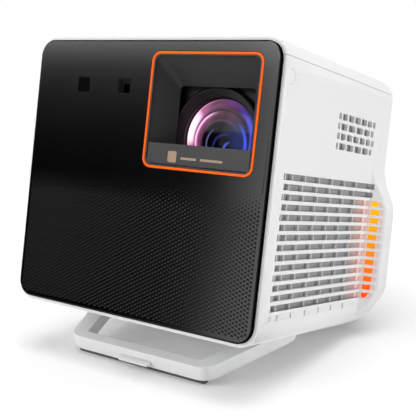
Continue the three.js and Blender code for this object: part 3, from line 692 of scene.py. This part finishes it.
def grille_cutter():
    return boxes([(*SIDE_CUT, row_start(row), WING["bend"] + 1, *row_span(row)) for row in range(ROWS)])


def grille_ribs():
    """The upright ribs between the bars, a little behind their faces and let into them at both ends."""
    ribs = [(HALF - WALL - 0.2, HALF - 0.7, y - 0.8, y + 0.8, *row_span(row, -0.3))
            for row in range(ROWS) for y in ribs_of(row)]
    return soften(outward(boxes(ribs)), 0.15, 2, 40)


def vent_cutter():
    """Four rows of small rounded cells; the cells at the ends of a row are narrow."""
    widths = ((5.0, 9.0, 10.0, 10.5, 10.5, 8.5, 5.3), (3.8, 11.4, 13.0, 13.0, 11.6, 5.4))
    outlines = []
    for row in range(4):
        y = 86.0
        z = 161.9 - 7.2 * row
        for width in widths[row % 2]:
            outlines.append(rounded(y + width / 2, z, width, 5, 1.1, 3))
            y += width + 1.9
    return prisms(outlines, "x", *SIDE_CUT)


def slit_spans(near, far, slack=0.0):
    """The thin slits of the blind lowest row, as boxes between two depths."""
    low = row_low(ROWS) + 0.3 + slack
    high = row_low(ROWS) + ROW_H - slack
    return [(HALF - far, HALF - near, y - 0.6 + slack, y + 0.6 - slack, low, high) for y in SLITS[:-1]]


def groove_cutter():
    """The lowest row is a very shallow groove between thin slits."""
    spans = [(HALF - 0.35, HALF + 1, a + 0.9, b - 0.9, row_low(ROWS) + 0.3, row_low(ROWS) + ROW_H)
             for a, b in zip(SLITS, SLITS[1:])]
    return boxes(spans), boxes(slit_spans(-1, 2.4))


def slit_shade_strips():
    """Dark strips low in the slits: painted shade for the slits' insides."""
    return soften(outward(boxes(slit_spans(0.5, 2.3, 0.05))), 0)


def row_end(row):
    """How each row runs over the bend and on to the ramp: the first two reach further."""
    return row_box(row, -1.2, {0: 3.2, 1: 2.4}.get(row, 1.7))


def side_cover(whole):
    keep = boxes([(SEAM_SIDE + GAP / 2, HALF + 30, -1, DEPTH + 1, -1, SEAM_TOP - GAP / 2)])
    cover = common(copy_of(whole), keep)
    cover = cleaned(join(cover, wing()))
    groove, slits = groove_cutter()
    ends = on_ramp([row_end(row) for row in range(ROWS)], *RAMP_CUT)
    lit = on_ramp([span(row) for row in LIT_ROWS for span in (lit_span, pale_span)], *RAMP_CUT)
    hole = side_cap_disc(0.15, *SIDE_CUT)
    cover = cut(cover, grille_cutter(), vent_cutter(), groove, slits, ends, lit, hole)
    return soften(cleaned(cover), 0.3, 2, 14)


def light_bar():
    """The lit blocks, a little behind the windows of the ramp."""
    return soften(on_ramp([lit_span(row, 0.25) for row in LIT_ROWS], 4, -0.5), 0.25, 2, 30)


def light_guide():
    """The pale guide beside the blocks: it shows in the windows next to them and at the rows' ends."""
    pale = on_ramp([pale_span(row, 0.05) for row in LIT_ROWS], 4, -0.9)
    ends = on_ramp([row_box(row, -1.1, 1.6, 0.1) for row in LIT_ROWS], 4, -1.1)
    fingers = boxes([(HALF - 4.4, HALF - 1.9, 155.6, 160.4, *row_span(row, 0.1)) for row in LIT_ROWS])
    low = row_low(LIT_ROWS[-1]) - 0.6
    high = row_low(LIT_ROWS[0]) + ROW_H + 0.6
    spine = boxes([(HALF - 5.4, HALF - 3.3, 154.6, 161.2, low, high)])
    return join(spine, pale, fingers, ends)


def button_places():
    return [(22 * step, 150, 6.5 if step == 0 else 5) for step in (-2, -1, 0, 1, 2)]


def top_cover(whole):
    keep = boxes([(-HALF - 9, HALF + 9, -1, DEPTH + 1, SEAM_TOP + GAP / 2, BODY_H + 9)])
    cover = common(copy_of(whole), keep)
    outlines = [circle(x, y, r + GAP) for x, y, r in button_places()]
    holes = [prism(outline, "z", BODY_H - 5, BODY_H + 1) for outline in outlines]
    return soften(cleaned(cut(cover, *holes)), 0.35, 2, 14)


def screen(outline):
    """The cloth behind the side's openings."""
    return prism(outline, "x", HALF - 5, HALF - SCREEN_DEPTH)


def build_shells():
    whole = shell()
    replacing(top_cover(whole), "top_cover", WHITE)
    pair(side_cover(whole), "side_cover", WHITE)
    pair(grille_ribs(), "grille_ribs", SHADED_RIB, replaces=False)
    pair(slit_shade_strips(), "groove_slit_shade", SLIT_SHADE, replaces=False)
    pair(light_bar(), "light_bar", GLOW)
    pair(light_guide(), "light_guide", GUIDE, replaces=False)
    pair(screen(rounded(85, 67, 152, 106, 2, 3)), "vent_screen", VENT_SCREEN_PAINTED_GLOW)
    pair(screen(rounded(120, 149, 80, 40, 2, 3)), "speaker_screen", SCREEN, replaces=False)
    discard(whole)


# ---- front
def ring_outline(inset):
    """The outline of the orange ring, or one inside it."""
    width = RING["w"] - 2 * inset
    height = RING["h"] - 2 * inset
    return rounded(RING["x"], RING["z"], width, height, RING["r"] - inset, 12)


def hole_outline(hole, inset, radius):
    return rounded(hole["x"], hole["z"], hole["w"] - 2 * inset, hole["h"] - 2 * inset, radius, 5)


def panel_plate(front, rear, inset):
    """The front panel's outline between two depths, with the openings for the ring, sensor and camera."""
    outline = rounded(0, PANEL_Z, PANEL_W - 2 * inset, PANEL_H - 2 * inset, PANEL_R - inset, 14)
    plate = prism(outline, "y", front, rear)
    if inset:
        rounded_face(plate, front, 0.9, 10)
    holes = [hole_outline(hole, 0, 1.6) for hole in (SENSOR, CAMERA_HOLE)]
    return cut(plate, prisms([ring_outline(0.35)] + holes, "y", *THROUGH_FRONT))


def front_panel():
    """The glossy plate, with a pocket for the pitted bed."""
    plate = soften(cleaned(panel_plate(PANEL_FRONT, PANEL_STEP, PANEL_INSET)), 0.15, 2, 40)
    pocket = prism(dot_border(dot_sites()), "y", PANEL_FRONT - 1, PANEL_FRONT + DOT_BED)
    return soften(cut(plate, pocket), 0, facing=FORWARD)


def dot_sites():
    """The pits' places on a honeycomb, counted in half cell sides across and half pitches up."""
    return [(3 * column, 2 * row + column % 2) for column in range(-42, 43) for row in range(37)
            if in_field(*dot_place(3 * column, 2 * row + column % 2))]


def dot_place(i, j):
    return i * DOT_CELL / 2, DOT_LOW + j * DOT_PITCH / 2


def dot_border(sites):
    """The outline round all the cells: the cell sides that no second cell shares, in order."""
    sides = set()
    for i, j in sites:
        corners = [(i + a, j + b) for a, b in CELL_CORNERS]
        for start, end in zip(corners, corners[1:] + corners[:1]):
            if (end, start) in sides:
                sides.remove((end, start))
            else:
                sides.add((start, end))
    following = dict(sides)
    corner = min(following)
    loop = []
    while corner in following:
        loop.append(dot_place(*corner))
        corner = following.pop(corner)
    return loop


def dot_field():
    """The pitted bed: round pits that shrink to points towards its top edge, in a thin web."""
    sites = dot_sites()
    border = dot_border(sites)
    count = len(border)
    vertices = [(x, y, z) for y in (PANEL_FRONT, PANEL_FRONT + DOT_BED) for x, z in border]
    faces = [(i, count + i, count + (i + 1) % count, (i + 1) % count) for i in range(count)]
    faces.append(list(range(2 * count - 1, count - 1, -1)))
    for site in sites:
        x, z = dot_place(*site)
        radius = PIT_LEAST + PIT_GROWTH * min(1.0, (DOT_TOP - z) / DOT_FADE)
        cell = len(vertices)
        rim = cell + 6
        bowl = rim + 6
        for size, depth in ((DOT_CELL, 0), (radius, 0), (0.72 * radius, 0.36 * radius)):
            vertices += [(a, PANEL_FRONT + depth, b) for a, b in circle(x, z, size, 6)]
        vertices.append((x, PANEL_FRONT + 0.5 * radius, z))
        faces += band_faces(cell, rim, 6) + band_faces(rim, bowl, 6)
        faces += [(bowl + k, bowl + (k + 1) % 6, bowl + 6) for k in range(6)]
    field = mesh_object("dots", vertices, faces)
    with edited(field) as bm:
        bmesh.ops.remove_doubles(bm, verts=bm.verts, dist=1e-3)
        bmesh.ops.recalc_face_normals(bm, faces=bm.faces)
    return soften(field, 0, facing=FORWARD)


def in_field(x, z):
    """Inside the panel's flat face and under the field's top edge, with room for a whole cell."""
    margin = 3.1
    dx = abs(x) - (PANEL_W / 2 - PANEL_R)
    dz = (PANEL_Z - PANEL_H / 2 + PANEL_R) - z
    if dx > 0 and dz > 0 and math.hypot(dx, dz) > PANEL_R - margin:
        return False
    return abs(x) < PANEL_W / 2 - margin and PANEL_Z - PANEL_H / 2 + margin < z < DOT_TOP


def ring_frame():
    outer = prism(ring_outline(0.65), "y", PANEL_FRONT - 0.3, 2.2)
    inner = prism(ring_outline(RING["line"]), "y", *THROUGH_FRONT)
    return soften(cleaned(cut(outer, inner)), 0.35, 3, 40)


def lens_bay():
    """A funnel of rounded loops: lip, straight land, sloping walls, and a frame round the lens."""
    x, z = RING["x"], RING["z"]
    half_w = RING["w"] / 2 - RING["line"] - GAP
    half_h = RING["h"] / 2 - RING["line"] - GAP
    mouth = (x - half_w, x + half_w, z - half_h, z + half_h)
    window = (x - BAY["w"] / 2, x + BAY["w"] / 2, BAY["bottom"], BAY["top"])
    deep = BAY["depth"]
    # Each loop: its rectangle, how far inside that it runs, its depth and its corner radius.
    loops = ((mouth, 0, -0.2, 4.8), (mouth, 0, -2.9, 4.8), (mouth, 0.5, -2.9, 4.6), (mouth, 0.7, -2.6, 5.0),
             (mouth, 1.0, 0.2, 6.5), (window, -0.6, deep - 0.9, 3.2), (window, 0, deep, 2.6),
             (window, 0, deep + 0.01, 2.6), (window, -0.9, deep - 0.2, 3.0))
    vertices = []
    for (x0, x1, z0, z1), inset, y, radius in loops:
        outline = between(x0 + inset, x1 - inset, z0 + inset, z1 - inset, radius, 6)
        vertices += [(a, y, b) for a, b in outline]
    count = len(outline)
    faces = []
    for here in range(0, len(vertices), count):
        faces += band_faces(here, (here + count) % len(vertices), count)
    return soften(outward(mesh_object("bay", vertices, faces)), 0, 1)


def bay_strip():
    """The strip under the window; only its lower corners are round."""
    margin = RING["line"] + 2 * GAP + 1
    low = RING["z"] - RING["h"] / 2 + margin
    left = RING["x"] - RING["w"] / 2 + margin
    right = RING["x"] + RING["w"] / 2 - margin
    lower = [(a, b) for a, b in between(left, right, low, STRIP_TOP, 3, 8) if b < STRIP_TOP - 3.01]
    outline = [(right, STRIP_TOP), (left, STRIP_TOP)] + sorted_loop(lower)
    return soften(prism(outline, "y", -2.4, -0.4), 0.25, 2, 30)


def sorted_loop(points):
    """The lower part of a rounded outline, from its upper left corner round to its upper right."""
    cx = sum(a for a, b in points) / len(points)
    cz = max(b for a, b in points) + 1
    return sorted(points, key=lambda p: math.atan2(p[1] - cz, p[0] - cx))


def camera_recess():
    """A square funnel that ends in a dark square hole low down."""
    x, z = CAMERA_HOLE["x"], CAMERA_HOLE["z"]
    half_w = CAMERA_HOLE["w"] / 2 - GAP - 0.15
    half_h = CAMERA_HOLE["h"] / 2 - GAP - 0.15
    low = z - CAMERA_HOLE_DROP
    corners = [(a, b) for a in (-1, 1) for b in (-1, 1)]
    mouth = [(x + a * half_w, PANEL_FRONT - 0.01, z + b * half_h) for a, b in corners]
    end = [(x + a * 3.9, CAMERA_HOLE_DEPTH, low + b * 3.7) for a, b in corners]
    block = prism(hole_outline(CAMERA_HOLE, GAP, 1.4), "y", PANEL_FRONT, 6)
    hole = prism(rounded(x, low, 7.2, 6.8, 1.4, 5), "y", CAMERA_HOLE_DEPTH - 0.5, 5.6)
    return soften(cleaned(cut(block, hull(mouth + end), hole)), 0.1, 2, 30)


def build_front():
    replacing(front_panel(), "front_panel", GLOSS)
    band = soften(panel_plate(PANEL_STEP, -GAP, 0), 0)
    housed(band, "front_panel_band", VELVET)
    housed(dot_field(), "front_panel_pits", GLOSS, inside=(PIT, PANEL_FRONT + 0.01))
    replacing(ring_frame(), "lens_bay_ring", ORANGE)
    replacing(lens_bay(), "lens_bay", BAY_DARK)
    replacing(bay_strip(), "lens_bay_strip", STRIP)
    # A plain badge and two plain bars stand in for what is printed on the strip.
    badge = prism(rounded(27.9, 119.2, 7.3, 7.8, 1.2, 5), "y", -2.52, -2.3)
    words = [rounded(41.5, 118.6, 13, 1.7, 0.85, 5), rounded(60, 118.6, 18, 1.7, 0.85, 5)]
    bar = prisms(words, "y", -2.5, -2.3)
    housed(soften(badge, 0.05, 2, 40), "strip_badge", BADGE)
    housed(soften(bar, 0.04, 2, 40), "strip_bar", BADGE)
    window = soften(prism(hole_outline(SENSOR, GAP, 1.4), "y", -3.1, -1), 0.2, 2, 40)
    replacing(window, "sensor_window", SENSOR_BLACK)
    replacing(camera_recess(), "camera_recess", FUNNEL, inside=(VELVET, CAMERA_HOLE_DEPTH + 0.2))
    pair(soften(side_cap_disc(0, HALF - 2.4, HALF - 0.05), 0.2, 2, 40), "side_cap", WHITE)


# ---- lens
def lens_barrel():
    """The CAD barrel's outside and bore, with a stepped funnel in front of the glass."""
    funnel = []
    for step in range(6):
        radius = 30.1 + 0.74 * step
        y = 22.6 - 0.86 * step
        funnel += [(radius, y), (radius + 0.2, y - 0.25), (radius + 0.6, y - 0.25)]
    front = [(34.6, 17.3), (35.2, 17.1), (36.2, 17.6), (36.9, 18.7), (37, 20.2)]
    grooves = [(37, 21.4), (36.6, 21.7), (36.6, 22.1), (37, 22.4)]
    rear = [(37, 42), (34, 42), (34, 74), (26, 74), (26, 31), (29.5, 31), (29.5, 23.2)]
    profile = funnel + front + grooves + rear
    return soften(cleaned(turned(profile + profile[:1], RING["x"], LENS_Z, 96)), 0)


def lens_flange():
    """The dark plate that closes the bay's window round the barrel."""
    x = RING["x"]
    low, high = BAY["bottom"] - 3, BAY["top"] + 3
    corners = [(x - 35, low), (x + 35, low), (x + 35, high), (x - 35, high)]
    hole = prism(circle(x, LENS_Z, 36.7, 64), "y", 22, 26)
    return soften(cut(prism(corners, "y", 23, 25), hole), 0)


def dome(radius, front, rear, bulge, x, z, sides=96):
    """A lens: a bulging front face, a straight edge and a flat back."""
    steps = 10
    profile = [(radius * i / steps, front + bulge * (i / steps) ** 2) for i in range(steps + 1)]
    profile += [(radius, rear - 0.3), (radius - 0.3, rear), (0, rear)]
    return soften(turned(profile, x, z, sides), 0)


def build_lens():
    replacing(lens_barrel(), "lens_barrel", BARREL)
    housed(lens_flange(), "lens_flange", BARREL)
    glass = dome(GLASS_R, 21, 29.5, 5, RING["x"], LENS_Z)
    # The front glass shows painted reflections: arcs that glow in its material.
    replacing(glass, "front_glass", PAINTED_REFLECTION_GLASS)
    eye = dome(1.6, 3.1, 5.8, 0.6, CAMERA_HOLE["x"], CAMERA_HOLE["z"], 32)
    replacing(eye, "camera_lens", SENSOR_BLACK)


# ---- rear
def socket_box(node):
    """A socket's centre (x, z), width, height and rear end in the body's frame."""
    inverse = BODY.inverted()
    points = [inverse @ v.co for v in frame["nodes"][node].data.vertices]
    low, high = [[pick(p[axis] for p in points) for axis in range(3)] for pick in (min, max)]
    return (low[0] + high[0]) / 2, (low[2] + high[2]) / 2, high[0] - low[0], high[2] - low[2], high[1]


def louvre_rows():
    return [LOUVRE["low"] + LOUVRE["pitch"] * row for row in range(LOUVRE["rows"])]


def rear_cover():
    """The hollow rear cover, with its port bay, sockets' openings, air slots and screw holes."""
    middle = (REAR_LOW + REAR_HIGH) / 2
    tall = REAR_HIGH - REAR_LOW
    cover = prism(rounded(0, middle, 2 * REAR_X, tall, 10, 12), "y", DEPTH - WALL - 1, REAR_END)
    rounded_face(cover, REAR_END, 3.2, 8)
    inner = prism(rounded(0, middle, 2 * (REAR_X - WALL), tall - 2 * WALL, 7, 8), "y",
                  DEPTH - 12, REAR_END - WALL)
    x0, x1, z0, z1 = PORT_BAY
    bay_end = REAR_END - PORT_DEPTH
    wall = boxes([(x0 - 2, x1 + 2, bay_end - WALL, REAR_END - 0.5, z0 - 2, z1 + 2)])
    cover = join(cut(cover, inner), wall)
    mouth = prism(between(x0, x1, z0, z1, 3, 6), "y", bay_end, REAR_END + 1)
    openings = []
    for node in SOCKETS:
        x, z, w, h, _ = socket_box(node)
        radius = w / 2 + GAP - 0.01 if node in ROUND_SOCKETS else 1.8
        openings.append(rounded(x, z, w + 2 * GAP, h + 2 * GAP, radius, 6))
    near, far, tall = LOUVRE["near"], LOUVRE["far"], LOUVRE["height"]
    slots = [rounded(side * (near + far) / 2, z + tall / 2, far - near, tall, 1.5, 4)
             for z in louvre_rows() for side in (-1, 1)]
    screws = [circle(side * SCREW["x"], SCREW["z"], 2.2, 24) for side in (-1, 1)]
    heads = [circle(side * SCREW["x"], SCREW["z"], 4, 32) for side in (-1, 1)]
    cover = cut(cover, mouth, prisms(openings, "y", REAR_END - 14, REAR_END - 3),
                prisms(slots, "y", REAR_END - 9, REAR_END + 1),
                prisms(screws, "y", REAR_END - 9, REAR_END),
                prisms(heads, "y", REAR_END - 1.6, REAR_END + 1))
    return soften(cleaned(cover), 0.3, 2, 30)


def louvre_blades():
    """Slanting blades behind the openings, which hide the inside and lead the air down and out."""
    y = REAR_END - WALL - 0.2
    blades = [[(y, z - 1.4), (y, z - 0.2), (y - 6.5, z + 5.4), (y - 6.5, z + 4.2)] for z in louvre_rows()]
    return soften(prisms(blades, "x", -REAR_X + 6, REAR_X - 6), 0.2, 2, 30)


def socket_tongues():
    """The contact tongues of the flat sockets."""
    spans = []
    for node in SOCKETS:
        x, z, w, h, end = socket_box(node)
        if node not in ROUND_SOCKETS:
            spans.append((x - 0.32 * w, x + 0.32 * w, end - 9.2, end - 1.5, z - 0.1 * h, z + 0.1 * h))
    return soften(outward(boxes(spans)), 0.1, 1, 40)


def inlet_pin():
    """The pin in the middle of the power inlet."""
    x, z, _, _, end = socket_box("dc_inlet")
    profile = [(0, end - 9.1), (0.9, end - 9.1), (0.9, end - 1.6), (0, end - 1.1)]
    return soften(turned(profile, x, z, 24), 0)


def build_rear():
    replacing(rear_cover(), "rear_cover", REAR_DARK)
    housed(louvre_blades(), "rear_louvre_blades", REAR_DARK)
    housed(socket_tongues(), "socket_tongues", SATIN)
    housed(inlet_pin(), "dc_inlet_pin", STEEL)


# ---- stand, bottom and small parts
def build_rest():
    refined("stand_frame", 0.9, 3, STAND)
    for node in ("stand_foot_bar", "stand_pull_tab"):
        refined(node, 0.4, 3, STAND)
    refined("bottom_cover", 0.35)
    for node in SMALL_PARTS:
        refined(node, 0.2)
    for node in BUTTONS:
        refined(node, 0.4, 3)


# ---- the nodes that keep their CAD shape
def finish_cad_nodes():
    for node, thing in frame["nodes"].items():
        thing.data.materials.clear()
        thing.data.materials.append(LOOKS[SLOTS[node]])


# ---- light, glass and cloth
def glow_material():
    """Amber at the top, turning to orange-red at the bottom of the bar."""
    made, tree, shader = shaded("light_diffuser", {"Roughness": 0.5, "Specular IOR Level": 0.2,
                                                   "Emission Strength": 1.0})
    up = split(tree, own_place(tree))[2]
    height = added(tree, "MapRange", {"Value": up, "From Min": 0.035, "From Max": 0.110})
    ramp = tree.nodes.new("ShaderNodeValToRGB")
    ramp.color_ramp.elements[0].color = (1.0, 0.075, 0.0, 1)
    ramp.color_ramp.elements[1].color = (1.0, 0.50, 0.0, 1)
    ramp.color_ramp.elements.new(0.5).color = (1.0, 0.26, 0.0, 1)
    tree.links.new(height.outputs["Result"], ramp.inputs["Fac"])
    light = ramp.outputs["Color"]
    feed(tree, shader, {"Emission Color": light, "Base Color": mixed(tree, light, (0, 0, 0, 1), 0.8)})
    return made


def glass_material():
    return shaded("lens_glass", {"Base Color": (0.03, 0.02, 0.06, 1), "Roughness": 0.04,
                                 "Coat Weight": 1.0})[0]


def painted_reflection_arc(tree, across, up, arc):
    """One glowing arc of painted reflection on the lens glass, brightest on one side; sizes are shares of
    the glass's radius.
    """
    cx, cz, rise, full, fall, end, toward, narrow, color = arc
    dx = calculated(tree, "SUBTRACT", across, cx)
    dz = calculated(tree, "SUBTRACT", up, cz)
    square = calculated(tree, "MULTIPLY_ADD", dx, dx, calculated(tree, "MULTIPLY", dz, dz))
    radius = calculated(tree, "SQRT", square)
    angle = math.radians(toward)
    lift = calculated(tree, "MULTIPLY", dz, math.sin(angle))
    along = calculated(tree, "MULTIPLY_ADD", dx, math.cos(angle), lift)
    side = stepped(tree, calculated(tree, "DIVIDE", along, radius), narrow, 1.0)
    outside = stepped(tree, radius, fall, end)
    ring = calculated(tree, "SUBTRACT", stepped(tree, radius, rise, full), outside)
    strength = calculated(tree, "MULTIPLY", ring, side)
    tinted = added(tree, "VectorMath", {"Scale": strength}, "SCALE")
    tinted.inputs["Vector"].default_value = color
    return tinted.outputs["Vector"]


def painted_reflection_glass_material():
    """Dark glass with painted reflections: glowing pink arcs on one side and violet and blue ones on the
    other.
    """
    made, tree, shader = shaded("glass_with_painted_reflections", {"Base Color": (0.004, 0.002, 0.006, 1), "Roughness": 0.05,
                                                 "Specular IOR Level": 0.12, "Emission Strength": 1.0})
    x, _, z = body_place(tree)
    across = calculated(tree, "DIVIDE", calculated(tree, "SUBTRACT", x, RING["x"]), GLASS_R)
    up = calculated(tree, "DIVIDE", calculated(tree, "SUBTRACT", z, LENS_Z), GLASS_R)
    total = (0, 0, 0)
    for arc in PAINTED_LENS_REFLECTIONS:
        light = painted_reflection_arc(tree, across, up, arc)
        total = added(tree, "VectorMath", {0: total, 1: light}).outputs["Vector"]
    tree.links.new(total, shader.inputs["Emission Color"])
    return made


# Painted reflections on the lens. Each arc: its centre, where its band rises (from, to) and falls (from,
# to), the direction of its bright side in degrees, how far it runs round from there (1 is not at all, -1
# all the way), and its glowing colour.
PAINTED_LENS_REFLECTIONS = (
    (0, 0, 0.70, 0.84, 0.94, 1.0, 163, 0.84, (1.5, 1.1, 1.3)),
    (0, 0, 0.66, 0.80, 0.97, 1.01, 165, 0.45, (0.42, 0.13, 0.30)),
    (0, 0, 0.66, 0.86, 0.97, 1.01, 125, -0.1, (0.16, 0.055, 0.115)),
    (0, 0, 0.76, 0.94, 0.97, 1.01, 25, 0.2, (0.028, 0.022, 0.17)),
    (0.04, -0.05, 0.46, 0.72, 0.735, 0.755, 165, 0.5, (0.30, 0.08, 0.19)),
    (0.04, -0.05, 0.66, 0.72, 0.735, 0.755, 155, 0.55, (0.85, 0.50, 0.70)),
    (0.04, -0.05, 0.64, 0.72, 0.735, 0.755, 165, 0.1, (0.28, 0.10, 0.20)),
    (0.04, -0.05, 0.40, 0.70, 0.735, 0.755, 110, -0.1, (0.075, 0.026, 0.05)),
    (0.06, -0.1, 0.52, 0.56, 0.58, 0.61, 110, -0.2, (0.05, 0.025, 0.055)),
    (0.12, -0.12, 0.40, 0.43, 0.44, 0.47, 170, 0.6, (0.10, 0.12, 0.26)),
    (0.10, -0.1, 0.12, 0.45, 0.62, 0.80, -10, -0.2, (0.008, 0.020, 0.10)),
    (0.40, -0.25, 0.17, 0.20, 0.22, 0.26, 165, 0.35, (0.06, 0.12, 0.62)),
    (0.22, -0.2, 0.28, 0.32, 0.34, 0.38, 130, 0.3, (0.014, 0.026, 0.14)),
    (0.05, -0.1, 0.62, 0.68, 0.70, 0.73, 0, 0.6, (0.05, 0.08, 0.75)),
    (0.0, 0, 0.80, 0.86, 0.90, 0.95, 5, 0.55, (0.06, 0.06, 0.60)),
    (0, 0, 0.955, 0.965, 0.97, 0.98, 165, 0.2, (0.6, 0.5, 0.3)),
)


def screen_material_with_painted_glow():
    """The grey cloth behind the grille; low down, towards the light bars, it turns pink: painted glow of
    the bars' light falling on it.
    """
    made = material("vent_screen", (0.36, 0.36, 0.365), 0.8, grain=0.6, grain_size=0.6)
    tree = made.node_tree
    color = tree.nodes["Principled BSDF"].inputs["Base Color"]
    cloth = color.links[0].from_socket
    _, y, z = body_place(tree)
    # Painted glow: below the top two rows and towards the light bars the cloth is mixed to pink.
    low = stepped(tree, calculated(tree, "MULTIPLY", z, -1), -103.5, -101.5)
    near = calculated(tree, "MULTIPLY", stepped(tree, y, 133, 157), low)
    tree.links.new(mixed(tree, cloth, (0.74, 0.47, 0.44, 1), near), color)
    return made


def guide_material():
    """Milky plastic that carries a little of the light."""
    made, tree, shader = shaded("light_guide", {"Roughness": 0.5, "Base Color": (0.72, 0.55, 0.52, 1),
                                                "Emission Strength": 0.25})
    cloud = noise(tree, own_place(tree), 120, 2)
    tint = mixed(tree, (1.0, 0.55, 0.5, 1), (1.0, 0.62, 0.58, 1), cloud)
    tree.links.new(tint, shader.inputs["Emission Color"])
    return made


GLOW = glow_material()
GUIDE = guide_material()
GLASS = glass_material()
PAINTED_REFLECTION_GLASS = painted_reflection_glass_material()
VENT_SCREEN_PAINTED_GLOW = screen_material_with_painted_glow()
SLOTS = {row["node"]: row["material_slot"] for row in frame["record"]["subparts"]}
LOOKS = {"white_shell": WHITE, "stand_grey": STAND_GREY, "gloss_black": GLOSS, "satin_black": SATIN,
         "dark_plastic": REAR_DARK, "screen_grey": SCREEN, "orange_trim": ORANGE, "rubber": RUBBER,
         "steel": STEEL, "aluminium": ALUMINIUM, "copper": COPPER, "circuit_board": BOARD,
         "light_diffuser": GLOW, "lens_glass": GLASS}


# ---- studio
def emitter(name):
    """A material that only glows white, and the node that sets how much."""
    made = bpy.data.materials.new(name)
    made.use_nodes = True
    tree = made.node_tree
    tree.nodes.remove(tree.nodes["Principled BSDF"])
    glow = added(tree, "Emission", {"Color": (1, 1, 1, 1), "Strength": 1.0})
    tree.links.new(glow.outputs["Emission"], tree.nodes["Material Output"].inputs["Surface"])
    return made, glow


def unlit(thing, made, camera):
    """Gives a thing a glow that lights nothing: either only the camera sees it or only reflections do."""
    thing.data.materials.append(made)
    thing.visible_camera = camera
    thing.visible_glossy = not camera
    thing.visible_diffuse = False
    thing.visible_shadow = False


def floor():
    """Paper white ground, which glows a little where the lamps no longer reach."""
    made, tree, shader = shaded("floor_white", {"Base Color": (0.9, 0.9, 0.9, 1), "Roughness": 0.8,
                                                "Specular IOR Level": 0.0, "Emission Color": (1, 1, 1, 1)})
    distance = added(tree, "VectorMath", {0: own_place(tree)}, "LENGTH").outputs["Value"]
    glow = calculated(tree, "ADD", stepped(tree, distance, 0.22, 0.6, 0.5), 0.08)
    tree.links.new(glow, shader.inputs["Emission Strength"])
    sides = 96
    disc = [(a, b, 0) for a, b in circle(0, 0, NEAR_FLOOR, sides)]
    near = mesh_object("floor", disc, [list(range(sides))])
    near.data.materials.append(made)
    near.visible_glossy = False
    # Beyond the lamps' reach only the camera sees the white ground and the wall.
    white, _ = emitter("white")
    rings = [(a, b, 0.0004) for radius in (FAR_FLOOR, WALL_RADIUS)
             for a, b in circle(0, 0, radius, sides)]
    far = mesh_object("far_floor", rings, band_faces(0, sides, sides))
    bm = bmesh.new()
    bmesh.ops.create_uvsphere(bm, u_segments=48, v_segments=24, radius=WALL_RADIUS)
    wall = from_bmesh("backdrop", bm)
    for thing in (far, wall):
        unlit(thing, white, camera=True)


def flag():
    """A card that only reflections see, in front and to the left: dark, but bright at its top and side."""
    made, glow = emitter("flag")
    tree = made.node_tree
    x, y, _ = split(tree, own_place(tree))
    # The upper bands run a little downhill to the right, as the reflected top edge of the panel does.
    slant = calculated(tree, "MULTIPLY_ADD", x, 0.18, y)
    haze = stepped(tree, slant, 0.15, 0.42, 0.15)
    band = stepped(tree, slant, 0.37, 0.50, 2.6)
    side = stepped(tree, calculated(tree, "MULTIPLY", x, -1), 0.04, 0.22, 1.5)
    total = calculated(tree, "ADD", calculated(tree, "ADD", haze, band), side)
    tree.links.new(total, glow.inputs["Strength"])
    corners = [(a * 1.6, b * 1.2, 0) for a, b in ((-1, -1), (1, -1), (1, 1), (-1, 1))]
    card = mesh_object("flag", corners, [(0, 1, 2, 3)])
    card.location = FLAG_CENTRE + FLAG_DIRECTION * FLAG_AWAY
    card.rotation_euler = (-FLAG_DIRECTION).to_track_quat("Z", "Y").to_euler()
    unlit(card, made, camera=False)


def studio():
    scene = bpy.context.scene
    scene.view_settings.view_transform = "Standard"
    floor()
    flag()
    world = bpy.data.worlds.new("studio")
    scene.world = world
    world.use_nodes = True
    background = world.node_tree.nodes["Background"]
    feed(world.node_tree, background, {"Color": (1, 1, 1, 1), "Strength": 0.28})
    for name, where, size, power in LAMPS:
        light = bpy.data.lights.new(name, "AREA")
        light.shape = "RECTANGLE"
        light.size, light.size_y = size
        light.energy = power
        lamp = bpy.data.objects.new(name, light)
        lamp.location = where
        lamp.rotation_euler = (LAMP_AIM - Vector(where)).to_track_quat("-Z", "Y").to_euler()
        lamp.visible_camera = False
        lamp.visible_glossy = name == "top"
        scene.collection.objects.link(lamp)


def camera():
    data = bpy.data.cameras.new("camera")
    data.sensor_width = SENSOR_WIDTH
    data.lens = FOCAL_LENGTH
    made = bpy.data.objects.new("camera", data)
    made.location = CAMERA_PLACE
    made.rotation_euler = CAMERA_LOOK.to_track_quat("-Z", "Y").to_euler()
    bpy.context.scene.collection.objects.link(made)
    bpy.context.scene.camera = made


camera()
finish_cad_nodes()
build_shells()
build_front()
build_lens()
build_rear()
build_rest()
studio()
